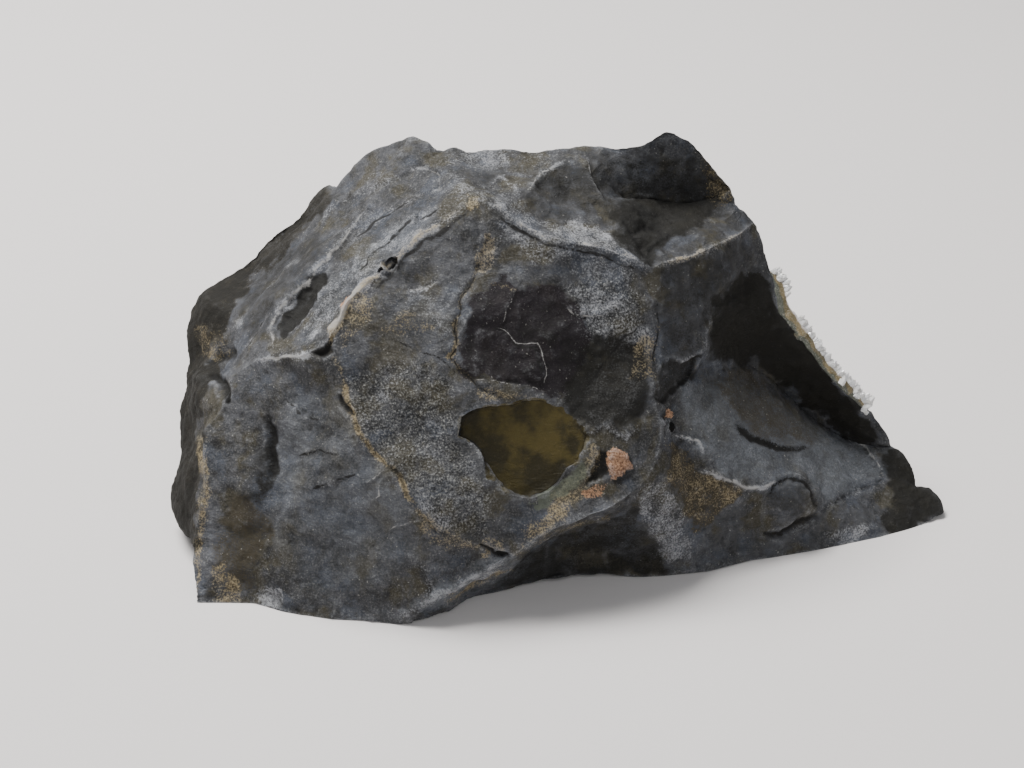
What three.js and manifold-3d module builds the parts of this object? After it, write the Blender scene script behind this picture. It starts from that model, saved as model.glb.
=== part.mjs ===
// Amethyst geode piece: a slab of basalt broken out of the wall of a geode. It stands upright on a
// small flat spot, with its weathered outer side to the front (-Y) and the crystal-lined hollow to
// the back (+Y). Millimetres, +Z up, origin under the middle of its box, on the surface it rests on.
import * as THREE from 'three';
import { ImprovedNoise } from 'three/addons/math/ImprovedNoise.js';
import { mergeVertices } from 'three/addons/utils/BufferGeometryUtils.js';
import Module from 'manifold-3d';

const wasm = await Module();
wasm.setup();

// ---- driving dimensions ----------------------------------------------------------------------
const eyeDistance = 300; // the front is laid out as it is seen from this far away ...
const eyeElevation = THREE.MathUtils.degToRad(30); // ... and from this high above the horizontal
const sightX = -8; // the point that the eye looks at, in the part's own frame
const sightY = 10.5;
const sightHeight = 19.4;
const frontEdge = 4.5; // longest triangle edge on the front
const backEdge = 9; // and on the back and underside
const seatGap = 0.3; // clearance between the crust and the rock
const layerThickness = 1.9; // chalcedony layer under the crystals
const saddleHeight = 9; // the lining rolls over this far before it meets the right rim
const crystalSpacing = 7.8; // between neighbours in the middle of the hollow
const rimSpacing = 2; // between the small crystals along the right rim
const backLimit = 29.3; // no crystal stands out further than this behind
const hollowMiddle = new THREE.Vector3(-14, 3.5, 26); // the deepest place of the hollow

// ---- places -----------------------------------------------------------------------------------
const eyeSine = Math.sin(eyeElevation);
const eyeCosine = Math.cos(eyeElevation);

// across and up are measured on the plane through the sighted point, square to the line of sight;
// out is how far the place stands in front of that plane
function sighted([across, up, out]) {
  const nearer = (eyeDistance - out) / eyeDistance;
  const rise = up * nearer;
  return new THREE.Vector3(
    sightX + across * nearer,
    sightY + rise * eyeSine - out * eyeCosine,
    sightHeight + rise * eyeCosine + out * eyeSine,
  );
}

function sightOf(point) {
  const x = point.x - sightX;
  const y = point.y - sightY;
  const z = point.z - sightHeight;
  const out = z * eyeSine - y * eyeCosine;
  const nearer = (eyeDistance - out) / eyeDistance;
  return [x / nearer, (y * eyeSine + z * eyeCosine) / nearer, out];
}

// corners where three or more faces of the rock meet, as [across, up, out]
const corners = {
  cornerLeft: [-52.5, -36.5, 20.2],
  slabShoulder: [-52.8, -27, 17],
  lobeFoot: [-56, -22, 5],
  flankTop: [-51.5, 15.5, -3],
  skylineLine: [-17, 41.2, 7],
  skylineNotch: [-12, 38.6, 9],
  topRight: [12.5, 39.5, 8],
  scoopRight: [36.5, 33.2, 4.5],
  ledgeRight: [38.6, 29.2, 4],
  shoulder: [40.5, 27, 3],
  rimTop: [43.3, 18.6, 1],
  rimFoot: [60.2, -5, -1.5],
  shelfRight: [63, -10.5, -5.5],
  blockTop: [66.7, -14, -4],
  tip: [72, -21.3, 0],
  armFoot: [62, -25.6, 4.6],
  hollowRight: [27.5, -31.9, 14],
  hollowLeft: [-7, -35.6, 19],
  toe: [-18.7, -40.2, 25],
  peak: [-6.2, 30.5, 23.5],
  crestFoot: [-31.5, 6.3, 27.5],
  ledgeMiddle: [-38.5, 4.4, 23],
  ledgeEnd: [-42.5, 4.1, 20.5],
  seamFoot: [-9, -26, 30.3],
  lipLeft: [0, -29.2, 28.6],
  lipRight: [20, -18.5, 27],
  crestNotch: [23, 19, 22],
  scoopLeft: [15, 31.5, 15],
  plateTop: [24.5, 3.8, 22.6],
  plateCorner: [31.5, 5.5, 17],
  slabRight: [23.5, -2, 24.2],
  shelfCorner: [29.5, 0, 18.5],
  shelfLeft: [28, -8.5, 20.5],
  crestRight: [44.5, -16, 11.5],
  blockFoot: [55, -19.2, 4.5],
};

// ridges and creases between those corners
const ridges = {
  // outline, clockwise from the lower left
  leftEdge: ['cornerLeft', [-53.2, -31, 18.5], 'slabShoulder'],
  lobeLow: ['slabShoulder', [-54.2, -25, 10], 'lobeFoot'],
  lobes: ['lobeFoot', [-56.5, -19, 4], [-55, -14, 5], [-55.5, -7, 3], [-55.2, -3, 2], [-54, -1, 1],
    [-53.6, 4, 0], [-54.2, 8, -1], [-53.5, 11.5, -2], 'flankTop'],
  skylineLeft: ['flankTop', [-48.5, 17.5, -3], [-45, 19.5, -3], [-40, 25, -2], [-35, 28.5, 0],
    [-32, 32.3, 0], [-30.5, 33.2, 0.5], [-29.3, 32.6, 1], [-27, 35.5, 2], [-24, 39, 4],
    [-20, 40.5, 6], 'skylineLine'],
  skylineStep: ['skylineLine', [-14, 40.2, 8], 'skylineNotch'],
  skylineTop: ['skylineNotch', [-9.3, 39.8, 9], [-7.5, 38.8, 9.5], [0, 39.7, 9], [2.7, 39.1, 9],
    [7, 39.5, 8.5], 'topRight'],
  skylineBump: ['topRight', [18, 39.4, 8], [22, 40, 8], [25.5, 42.2, 8], [28, 41.5, 7],
    [30, 40.4, 6], [33.5, 36.3, 5], 'scoopRight'],
  scoopEnd: ['scoopRight', [37.6, 30.2, 4], 'ledgeRight'],
  ledgeSide: ['ledgeRight', 'shoulder'],
  sideUpper: ['shoulder', [42, 22, 2], 'rimTop'],
  rimOuter: ['rimTop', [45.4, 16.2, 1], [46.4, 13.4, 1.5], [49, 10.4, 1.5], [51, 7, 1.5],
    [52.9, 3.4, 1], [55.6, 1.2, 0.5], [57.4, -1.6, -0.5], 'rimFoot'],
  armTop: ['rimFoot', [62, -7.6, -4], 'shelfRight'],
  blockSky: ['shelfRight', [65, -12, -5], 'blockTop'],
  tipSky: ['blockTop', [67, -17.2, -3], [69.3, -17.6, -2], [71.5, -20, -1], 'tip'],
  tipUnder: ['tip', [68, -23.5, 1.8], 'armFoot'],
  footRight: ['armFoot', [56, -26.8, 6.4], [50, -28, 8.2], [40, -29.5, 10.5], [33, -31.3, 13.2],
    'hollowRight'],
  footHollow: ['hollowRight', [20, -33, 14.6], [10, -33.6, 15.6], [0, -34.6, 17.4], 'hollowLeft'],
  footSide: ['hollowLeft', [-10, -37.5, 21.5], [-14, -39, 23.4], 'toe'],
  footLeft: ['toe', [-24, -39.6, 24.4], [-30, -39.3, 23.9], [-38, -38, 22.2], [-43, -36.6, 20.3],
    'cornerLeft'],
  // creases of the front
  slabEdge: ['slabShoulder', [-52.4, -23, 18], [-51.3, -17, 19], [-51.8, -8, 17.5],
    [-48.5, -4, 18.5], [-46.5, 1.5, 18.5], 'ledgeEnd'],
  flankCrease: ['flankTop', [-48, 12, 5], [-45, 8, 13], 'ledgeEnd'],
  ledgeOuter: ['ledgeEnd', 'ledgeMiddle'],
  ledgeInner: ['ledgeMiddle', [-35, 4.6, 26.4], 'crestFoot'],
  fractureLine: ['skylineLine', [-20, 35, 10], [-24, 30, 12.5], [-28, 25, 14.5], [-31, 20.5, 16.5],
    [-35, 16.5, 17.5], [-39, 12.5, 18], [-40, 9, 19.5], 'ledgeMiddle'],
  leftCrest: ['peak', [-9.5, 28.5, 23.6], [-12, 26.8, 24], [-15, 25.3, 24.2], [-18, 22.5, 24.6],
    [-21.5, 19, 25.2], [-24, 17, 25.6], [-28, 12.5, 26.6], [-29, 9.5, 27.1], 'crestFoot'],
  seam: ['crestFoot', [-28.5, 2, 28.2], [-27.5, -2, 28.6], [-25, -9, 29.4], [-21, -13.5, 30],
    [-17.5, -19, 30.2], [-14, -23, 30.4], 'seamFoot'],
  seamEnd: ['seamFoot', [-5, -27.2, 30], 'lipLeft'],
  toeRidge: ['lipLeft', [-5, -31.6, 27.8], [-10, -34, 27.2], [-14, -36, 26.8], 'toe'],
  peakRidge: ['peak', [-9, 33.5, 19], [-11, 36, 14], 'skylineNotch'],
  crest: ['peak', [-3, 29.5, 24], [0, 27.5, 24.4], [2, 26, 24.8], [8, 23.8, 25.2], [15, 22.7, 24.6],
    [20, 20.7, 23.4], 'crestNotch'],
  crestRightArm: ['crestNotch', [25, 20, 20.8], [30, 21.2, 17.6], [35, 23.5, 13], [38, 25, 8.6],
    'shoulder'],
  scoopRim: ['topRight', [13, 35, 12.5], 'scoopLeft'],
  scoopCrease: ['scoopLeft', [18, 27, 18], 'crestNotch'],
  scoopBottom: ['scoopLeft', [19, 31, 9], [24, 30.5, 5], [29, 30, 3.4], [33.5, 31, 3.2],
    'scoopRight'],
  ledgeBack: ['crestNotch', [27, 22.8, 17.5], [31, 26, 11.5], [35, 27.5, 7.5], 'ledgeRight'],
  centreSeam: ['peak', [-5.5, 24, 25.2], [-6.5, 19, 26.2], [-8.3, 14.5, 27], [-9.5, 7, 28.2],
    [-7, 0.5, 28.8], [-9.5, -7, 29.8], [-8, -15, 30.2], [-6.5, -22, 30.4], 'seamFoot'],
  plateEdge: ['crestNotch', [24, 14, 23], [24.5, 10, 23.3], [24, 6.5, 23.2], 'plateTop'],
  plateSide: ['plateTop', [23.8, 1, 23.4], 'slabRight'],
  plateCrest: ['plateTop', [28, 4.2, 20], 'plateCorner'],
  darkFoot: ['plateCorner', [32.5, 10, 15], [34, 12.5, 12.6], [36, 15.5, 9.6], [40, 15.8, 5],
    'rimTop'],
  plateFoot: ['slabRight', [25.5, -3, 22.4], [28, -1, 20], 'shelfCorner'],
  plateRight: ['plateCorner', [31, 2.6, 16.6], 'shelfCorner'],
  rimInner: ['rimTop', [44, 15.4, 2], [45, 12.2, 2.8], [47.4, 9.4, 3], [49.6, 6.2, 3],
    [51.5, 2.6, 2.6], [54, 0.3, 2], [56.1, -2.4, 0.8], 'rimFoot'],
  shelfBack: ['shelfCorner', [34, 2.2, 11.5], [40, 3.2, 3], [43.5, 0.5, -1], [47, -3.2, -4],
    [51, -6.4, -5.6], [55, -9, -6.4], [59, -10.2, -6], 'shelfRight'],
  shelfSide: ['shelfCorner', [28, -4, 20.2], 'shelfLeft'],
  slabSide: ['slabRight', [25, -7, 24.2], [24.5, -12, 25], [22.8, -16, 26], 'lipRight'],
  chipFoot: ['shelfLeft', [29, -12, 20.4], [26.5, -16, 22.4], 'lipRight'],
  shelfCrest: ['shelfLeft', [31, -10.5, 19.5], [33, -14, 18], [36, -16, 16.6], [39.5, -17.6, 15],
    [42.5, -16.9, 12.8], 'crestRight'],
  shelfLip: ['crestRight', [47, -15.6, 10], [50, -17.3, 8.2], [52.4, -20.2, 7], 'blockFoot'],
  blockCrease: ['blockFoot', [58, -17.6, 1.5], [62, -16.2, -1.8], 'blockTop'],
  blockEdge: ['blockFoot', [58.5, -22, 4.8], 'armFoot'],
  lip: ['lipLeft', [2, -27.6, 29], [5, -25.5, 29.5], [8, -24, 29.5], [13, -22.6, 29],
    [16.5, -21.6, 28.2], 'lipRight'],
  hollowSide: ['lipRight', [23, -22, 22.6], [25.5, -26.4, 18.4], 'hollowRight'],
  hollowEnd: ['lipLeft', [-3, -32.6, 23.4], 'hollowLeft'],
};

// faces of the front, each walled in by its ridges in turn
const frontFaces = {
  slab: ['leftEdge', 'slabEdge', 'ledgeOuter', 'ledgeInner', 'seam', 'seamEnd', 'toeRidge', 'footLeft'],
  flank: ['lobeLow', 'lobes', 'flankCrease', 'slabEdge'],
  outerFacet: ['skylineLeft', 'fractureLine', 'ledgeOuter', 'flankCrease'],
  innerFacet: ['skylineStep', 'peakRidge', 'leftCrest', 'ledgeInner', 'fractureLine'],
  top: ['skylineTop', 'scoopRim', 'scoopCrease', 'crest', 'peakRidge'],
  scoopWall: ['skylineBump', 'scoopBottom', 'scoopRim'],
  scoopFloor: ['scoopBottom', 'scoopEnd', 'ledgeBack', 'scoopCrease'],
  ledge: ['ledgeBack', 'ledgeSide', 'crestRightArm'],
  darkFacet: ['crestRightArm', 'sideUpper', 'darkFoot', 'plateCrest', 'plateEdge'],
  centreLeft: ['leftCrest', 'seam', 'centreSeam'],
  centreRight: ['crest', 'plateEdge', 'plateSide', 'slabSide', 'lip', 'seamEnd', 'centreSeam'],
  plate: ['plateCrest', 'plateRight', 'plateFoot', 'plateSide'],
  pocket: ['rimInner', 'armTop', 'shelfBack', 'plateRight', 'darkFoot'],
  rimBand: ['rimOuter', 'rimInner'],
  shelf: ['shelfBack', 'blockSky', 'blockCrease', 'shelfLip', 'shelfCrest', 'shelfSide'],
  chips: ['plateFoot', 'shelfSide', 'chipFoot', 'slabSide'],
  frontRight: ['shelfCrest', 'shelfLip', 'blockEdge', 'footRight', 'hollowSide', 'chipFoot'],
  block: ['blockCrease', 'tipSky', 'tipUnder', 'blockEdge'],
  underLip: ['lip', 'hollowSide', 'footHollow', 'hollowEnd'],
  sideFacet: ['toeRidge', 'hollowEnd', 'footSide'],
};

// corners and ridges behind, in the part's own frame
const backCorners = {
  heelLeft: [-49, 15, 2.4],
  heelMiddle: [-8, 24, -0.6],
  heelRight: [46, 20, 1.2],
};
const backRidges = {
  heelLow: ['lobeFoot', [-58, 4.5, 2.6], 'heelLeft'],
  heel: ['heelLeft', [-33, 21, 1.4], 'heelMiddle'],
  heelFar: ['heelMiddle', [18, 25, 0.6], 'heelRight'],
  heelTip: ['heelRight', [55, 12, 1.4], 'tip'],
  keel: ['toe', [-22, -12, -1.3], [-13, 8, -1.3], 'heelMiddle'],
  leftBack: ['flankTop', [-56.5, 22.5, 20], [-53, 21, 9], 'heelLeft'],
  backRidge: ['flankTop', [-48, 24.6, 33], [-34, 28, 43], [-14, 29.4, 49], [6, 28.6, 49.5],
    [22, 27, 47.5], [30, 24.4, 41], 'rimTop'],
  rightBack: ['rimTop', [38, 24.5, 26], [43, 23.5, 16], [47, 22, 8], 'heelRight'],
};
const backFaces = {
  backLobe: ['lobes', 'leftBack', 'heelLow'],
  backBevel: ['skylineLeft', 'skylineStep', 'skylineTop', 'skylineBump', 'scoopEnd', 'ledgeSide',
    'sideUpper', 'backRidge'],
  backWall: ['backRidge', 'rightBack', 'heelFar', 'heel', 'leftBack'],
  backRight: ['rimOuter', 'armTop', 'blockSky', 'tipSky', 'heelTip', 'rightBack'],
  underLeft: ['footLeft', 'leftEdge', 'lobeLow', 'heelLow', 'heel', 'keel'],
  underRight: ['footSide', 'footHollow', 'footRight', 'tipUnder', 'heelTip', 'heelFar', 'keel'],
};

// lumps (raised) and dents (sunk) within the faces: place, radius and height
const swells = [
  { at: sighted([46.5, -19.3, 10]), radius: 4.2, height: 2.2 },
  { at: sighted([-50, -1, 8]), radius: 4, height: 2.4 },
  { at: sighted([-51, 12, 2]), radius: 4.5, height: 1.8 },
  { at: sighted([-54, -17, 9]), radius: 5, height: 2 },
  { at: sighted([-48.5, 4.5, 11]), radius: 2.8, height: -2.2 },
  { at: sighted([11, -29, 22]), radius: 9, height: -4 },
  { at: sighted([8.5, 32, 15]), radius: 3.6, height: -1.6 },
  { at: sighted([4, 32, 18]), radius: 4, height: 1.2 },
  { at: sighted([44, -9, 2]), radius: 6, height: 0.9 },
  { at: sighted([35, -20.5, 13]), radius: 5, height: -1.4 },
  { at: sighted([2, 8, 26]), radius: 8, height: 0.8 },
  { at: sighted([-30, -20, 26]), radius: 10, height: 1 },
  { at: sighted([-36, 14, 20]), radius: 3.4, height: -1.3 },
  { at: sighted([40, 8, 2]), radius: 6, height: -1 },
];

// ---- solid of the rock ---------------------------------------------------------------------
const noise = new ImprovedNoise();

function roughness(point, size, seed) {
  return noise.noise(point.x / size + seed, point.y / size + seed * 2, point.z / size - seed);
}

const edgeKey = (a, b) => (a < b ? `${a}_${b}` : `${b}_${a}`);

// A mesh under construction: points, triangles, the region of each triangle and the creases that
// the triangles keep. Every ridge becomes a line of shared points, so the faces close on each other.
function layRidges() {
  const mesh = { points: [], triangles: [], creases: new Set(), held: new Set() };
  const cornerIndex = {};
  const chains = {};
  const addPoint = (point) => mesh.points.push(point) - 1;
  for (const [name, place] of Object.entries(corners)) {
    cornerIndex[name] = addPoint(sighted(place));
  }
  for (const [name, place] of Object.entries(backCorners)) {
    cornerIndex[name] = addPoint(new THREE.Vector3(...place));
  }
  const layChain = (name, stops, locate) => {
    chains[name] = stops.map((stop) => {
      return typeof stop === 'string' ? cornerIndex[stop] : addPoint(locate(stop));
    });
    for (let i = 1; i < chains[name].length; i += 1) {
      mesh.creases.add(edgeKey(chains[name][i - 1], chains[name][i]));
    }
  };
  for (const [name, stops] of Object.entries(ridges)) {
    layChain(name, stops, sighted);
  }
  for (const [name, stops] of Object.entries(backRidges)) {
    layChain(name, stops, (place) => new THREE.Vector3(...place));
  }
  mesh.points.forEach((point, index) => mesh.held.add(index));
  return { mesh, chains };
}

// joins ridges end to end into one closed loop of points
function loopOf(names, chains) {
  const first = chains[names[0]];
  const second = chains[names[1]];
  const forward = second[0] === first.at(-1) || second.at(-1) === first.at(-1);
  const loop = forward ? [...first] : [...first].reverse();
  for (const name of names.slice(1)) {
    const chain = chains[name];
    const stretch = chain[0] === loop.at(-1) ? [...chain] : [...chain].reverse();
    if (stretch[0] !== loop.at(-1)) throw new Error(`ridge ${name} does not join its face`);
    loop.push(...stretch.slice(1));
  }
  if (loop.at(-1) !== loop[0]) throw new Error(`the face of ${names.join(', ')} is not closed`);
  loop.pop();
  return loop;
}

function fillFace(mesh, loop, facesEye) {
  const flat = loop.map((index) => {
    const [across, up] = sightOf(mesh.points[index]);
    return new THREE.Vector2(across, up);
  });
  const region = facesEye ? 'front' : 'back';
  const walls = new Set(loop.map((index, i) => edgeKey(index, loop[(i + 1) % loop.length])));
  const middles = new Map();
  const middleOf = (a, b) => {
    const key = edgeKey(a, b);
    if (walls.has(key)) return undefined;
    if (!middles.has(key)) {
      middles.set(key, mesh.points.push(mesh.points[a].clone().lerp(mesh.points[b], 0.5)) - 1);
    }
    return middles.get(key);
  };
  for (const [i, j, k] of THREE.ShapeUtils.triangulateShape(flat, [])) {
    const clockwise = THREE.ShapeUtils.isClockWise([flat[i], flat[j], flat[k]]);
    const corner = clockwise === facesEye ? [loop[k], loop[j], loop[i]] : [loop[i], loop[j], loop[k]];
    mesh.triangles.push(...cutTriangle(corner, middleOf, region));
  }
}

// halves every edge that is too long, keeping neighbours matched
function splitLongEdges(mesh) {
  const middles = new Map();
  const limit = (region) => (region === 'front' ? frontEdge : backEdge);
  const lengthOf = (a, b) => mesh.points[a].distanceTo(mesh.points[b]);
  const wanted = new Set();
  for (const { corner, region } of mesh.triangles) {
    const sides = [0, 1, 2].map((i) => [corner[i], corner[(i + 1) % 3]]);
    const longest = Math.max(...sides.map(([a, b]) => lengthOf(a, b)));
    for (const [a, b] of sides) {
      const length = lengthOf(a, b);
      if (length > limit(region) && length > longest * 0.7) wanted.add(edgeKey(a, b));
    }
  }
  const middleOf = (a, b) => {
    const key = edgeKey(a, b);
    if (!wanted.has(key)) return undefined;
    if (!middles.has(key)) {
      const middle = mesh.points[a].clone().lerp(mesh.points[b], 0.5);
      middles.set(key, mesh.points.push(middle) - 1);
      if (mesh.creases.delete(key)) {
        mesh.creases.add(edgeKey(a, middles.get(key)));
        mesh.creases.add(edgeKey(b, middles.get(key)));
        mesh.held.add(middles.get(key));
      }
    }
    return middles.get(key);
  };
  mesh.triangles = mesh.triangles.flatMap(({ corner, region }) => {
    return cutTriangle(corner, middleOf, region);
  });
  return wanted.size;
}

// the triangles that are left of one when the sides with a middle point are split there
function cutTriangle(corner, middleOf, region) {
  const [a, b, c] = corner;
  const [ab, bc, ca] = [middleOf(a, b), middleOf(b, c), middleOf(c, a)];
  const split = [ab, bc, ca].filter((middle) => middle !== undefined).length;
  let pieces = [corner];
  if (split === 3) pieces = [[a, ab, ca], [ab, b, bc], [ca, bc, c], [ab, bc, ca]];
  if (split === 2) {
    if (ab === undefined) pieces = [[c, ca, bc], [a, b, ca], [b, bc, ca]];
    if (bc === undefined) pieces = [[a, ab, ca], [ab, b, c], [ab, c, ca]];
    if (ca === undefined) pieces = [[b, bc, ab], [a, ab, c], [ab, bc, c]];
  }
  if (split === 1) {
    if (ab !== undefined) pieces = [[a, ab, c], [ab, b, c]];
    if (bc !== undefined) pieces = [[a, b, bc], [a, bc, c]];
    if (ca !== undefined) pieces = [[a, b, ca], [b, c, ca]];
  }
  return pieces.map((piece) => ({ corner: piece, region }));
}

// swaps the shared edge of two triangles where that makes them less thin
function flipThinPairs(mesh) {
  const owner = new Map();
  mesh.triangles.forEach(({ corner }, index) => {
    for (let i = 0; i < 3; i += 1) owner.set(`${corner[i]}_${corner[(i + 1) % 3]}`, index);
  });
  const angleAt = (tip, a, b) => {
    const toA = mesh.points[a].clone().sub(mesh.points[tip]);
    return toA.angleTo(mesh.points[b].clone().sub(mesh.points[tip]));
  };
  const opposite = ({ corner }, a, b) => corner.find((index) => index !== a && index !== b);
  const changed = new Set();
  for (const [key, index] of owner) {
    const [a, b] = key.split('_').map(Number);
    const other = owner.get(`${b}_${a}`);
    if (a > b || mesh.creases.has(edgeKey(a, b)) || changed.has(index) || changed.has(other)) continue;
    const c = opposite(mesh.triangles[index], a, b);
    const d = opposite(mesh.triangles[other], a, b);
    if (owner.has(`${c}_${d}`) || owner.has(`${d}_${c}`)) continue;
    if (angleAt(c, a, b) + angleAt(d, a, b) < Math.PI * 1.02) continue;
    mesh.triangles[index].corner = [a, d, c];
    mesh.triangles[other].corner = [b, c, d];
    changed.add(index).add(other);
    owner.set(`${c}_${d}`, other);
  }
}

// draws every free point towards the middle of its neighbours, so that faces span their ridges
function relax(mesh, rounds) {
  const neighbours = mesh.points.map(() => new Set());
  for (const { corner } of mesh.triangles) {
    for (let i = 0; i < 3; i += 1) {
      neighbours[corner[i]].add(corner[(i + 1) % 3]).add(corner[(i + 2) % 3]);
    }
  }
  for (let round = 0; round < rounds; round += 1) {
    mesh.points = mesh.points.map((point, index) => {
      if (mesh.held.has(index)) return point;
      const middle = new THREE.Vector3();
      for (const near of neighbours[index]) middle.add(mesh.points[near]);
      return middle.divideScalar(neighbours[index].size);
    });
  }
}

function geometryOf(points, triangles) {
  const geometry = new THREE.BufferGeometry().setFromPoints(points);
  geometry.setIndex(triangles.flat());
  geometry.computeVertexNormals();
  return geometry;
}

// lumps, dents and the broken grain of the stone
function weather(mesh) {
  const geometry = geometryOf(mesh.points, mesh.triangles.map(({ corner }) => corner));
  const normals = geometry.getAttribute('normal');
  mesh.points.forEach((point, index) => {
    let raise = 0;
    for (const { at, radius, height } of swells) {
      raise += height * Math.exp(-point.distanceToSquared(at) / (radius * radius));
    }
    const grain = 1.1 * roughness(point, 12, 3) + 0.8 * roughness(point, 6, 7);
    raise += mesh.held.has(index) ? grain * 0.25 : grain;
    const normal = new THREE.Vector3().fromBufferAttribute(normals, index);
    point.addScaledVector(normal, raise);
  });
}

function buildRock() {
  const { mesh, chains } = layRidges();
  for (const names of Object.values(frontFaces)) fillFace(mesh, loopOf(names, chains), true);
  for (const names of Object.values(backFaces)) fillFace(mesh, loopOf(names, chains), false);
  let split = 1;
  while (split > 0) {
    flipThinPairs(mesh);
    relax(mesh, 2);
    split = splitLongEdges(mesh);
  }
  for (let round = 0; round < 12; round += 1) {
    relax(mesh, 6);
    flipThinPairs(mesh);
  }
  weather(mesh);
  return geometryOf(mesh.points, mesh.triangles.map(({ corner }) => corner));
}

// ---- cutting and joining -------------------------------------------------------------------
function solidOf(geometry) {
  const bare = geometry.clone();
  bare.deleteAttribute('normal');
  bare.deleteAttribute('uv');
  const merged = mergeVertices(bare, 1e-4);
  const corner = [...merged.getIndex().array];
  const faces = [];
  for (let i = 0; i < corner.length; i += 3) {
    const face = corner.slice(i, i + 3);
    if (new Set(face).size === 3) faces.push(...face);
  }
  return new wasm.Manifold(new wasm.Mesh({
    numProp: 3,
    vertProperties: new Float32Array(merged.getAttribute('position').array),
    triVerts: new Uint32Array(faces),
  }));
}

function geometryFrom(solid) {
  const { vertProperties, triVerts, numProp } = solid.getMesh();
  const points = [];
  for (let i = 0; i < vertProperties.length; i += numProp) {
    points.push(new THREE.Vector3(...vertProperties.slice(i, i + 3)));
  }
  const geometry = new THREE.BufferGeometry().setFromPoints(points);
  geometry.setIndex([...triVerts]);
  geometry.computeVertexNormals();
  return geometry;
}

// a prism along the line of sight, between two distances in front of the sighted plane
function sightPrism(outline, floorOut, topOut, lean) {
  const nearer = (eyeDistance - floorOut) / eyeDistance;
  const shape = new THREE.Shape();
  shape.setFromPoints(outline.map(([across, up]) => new THREE.Vector2(across, up)));
  const geometry = new THREE.ExtrudeGeometry(shape, { depth: topOut - floorOut, bevelEnabled: false });
  geometry.scale(nearer, nearer, 1);
  geometry.rotateY(lean);
  geometry.rotateX(Math.PI / 2 - eyeElevation);
  const [x, y, z] = sighted([0, 0, floorOut]).toArray();
  return geometry.translate(x, y, z);
}

// the olive pit in the middle of the front, with a smooth floor and a crisp rim
const pitOutline = [[-9, -8.5], [-8.5, -5.5], [-6, -4], [-3, -3.6], [0, -3.5], [2, -2.6], [5, -2.6],
  [8, -4], [11, -6.5], [12.5, -8.5], [12, -11], [11, -13], [9, -14.2], [8, -16], [6, -18], [3, -19.2],
  [0, -18.7], [-2, -17.4], [-4, -15.4], [-5, -13], [-5.6, -11], [-7, -9.6]];
const pitFloor = 27;
const pitLean = 0.07;

// two small gas holes beside the left crest, and the hole in the chips: [across, up], long and wide
const holes = [
  { at: [-20, 20], out: 25, length: 2.8, width: 1.8 },
  { at: [-21.9, 18.8], out: 25.4, length: 1.6, width: 1.2 },
  { at: [26.5, -7], out: 23, length: 1.6, width: 1.3 },
  { at: [-48.5, 4.4], out: 14, length: 3.2, width: 1.8 },
];

function holeOutline([across, up], length, width) {
  const lean = THREE.MathUtils.degToRad(40);
  return Array.from({ length: 7 }, (_, i) => {
    const turn = (i / 7) * Math.PI * 2;
    const [x, y] = [Math.cos(turn) * length / 2, Math.sin(turn) * width / 2];
    return [across + x * Math.cos(lean) - y * Math.sin(lean), up + x * Math.sin(lean) + y * Math.cos(lean)];
  });
}

// ---- hollow of the geode --------------------------------------------------------------------
// the hollow's mouth: over the right rim it runs along the front's edge, elsewhere in the back wall
const rimStops = ridges.rimInner.map((stop) => sighted(typeof stop === 'string' ? corners[stop] : stop));
const wallStops = [[50, 14, 9.5], [45, 18.5, 7], [34, 21.5, 6.6], [20, 25, 6], [-3, 26, 5.6],
  [-27, 24.5, 6.6], [-44, 20.5, 11], [-51, 19.5, 20], [-50, 22, 29], [-43, 25, 36], [-33, 26, 40.5],
  [-18, 27.3, 45], [0, 27, 46], [15, 26, 45], [26, 23.5, 40.5]];
const mouthStops = [...rimStops, ...wallStops.map((place) => new THREE.Vector3(...place))];
const hollowSectors = 34;
const hollowRings = 6;
const flareLength = 30;

// rings of points from the middle of the hollow to its mouth, then out of the rock
function buildHollow() {
  const curve = new THREE.CatmullRomCurve3(mouthStops, true, 'centripetal');
  const mouth = curve.getSpacedPoints(hollowSectors).slice(0, hollowSectors);
  const nearRim = (edge) => Math.min(...rimStops.map((stop) => stop.distanceTo(edge)));
  const away = mouth.map((edge) => THREE.MathUtils.smoothstep(nearRim(edge), 2, 12));
  mouth.forEach((edge, sector) => {
    const spread = 1 + 0.09 * away[sector] * roughness(edge, 7, 9);
    edge.x = THREE.MathUtils.lerp(hollowMiddle.x, edge.x, spread);
    edge.z = THREE.MathUtils.lerp(hollowMiddle.z, edge.z, spread);
  });
  const points = [hollowMiddle.clone()];
  for (let ring = 1; ring <= hollowRings; ring += 1) {
    const reach = ring / hollowRings;
    for (const edge of mouth) {
      const point = hollowMiddle.clone().lerp(edge, reach);
      const right = THREE.MathUtils.smoothstep(edge.x, 18, 40);
      const saddle = right * saddleHeight * Math.max(0, 1 - ((reach - 0.75) / 0.25) ** 2);
      point.y = THREE.MathUtils.lerp(hollowMiddle.y, edge.y, reach ** 2.3) + saddle;
      if (ring < hollowRings) point.y += (1.6 - right) * roughness(point, 12, 5);
      points.push(point);
    }
  }
  // past the mouth the cut leaves the rock: backwards, but sideways along the right rim
  const backwards = new THREE.Vector3(0, 1, 0);
  const sideways = new THREE.Vector3(0.74, 0, 0.67);
  mouth.forEach((edge, sector) => {
    const direction = sideways.clone().lerp(backwards, away[sector]).normalize();
    points.push(edge.clone().addScaledVector(direction, flareLength));
  });
  points.push(new THREE.Vector3(hollowMiddle.x, 90, hollowMiddle.z));
  return geometryOf(points, hollowTriangles(points.length - 1));
}

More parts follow.
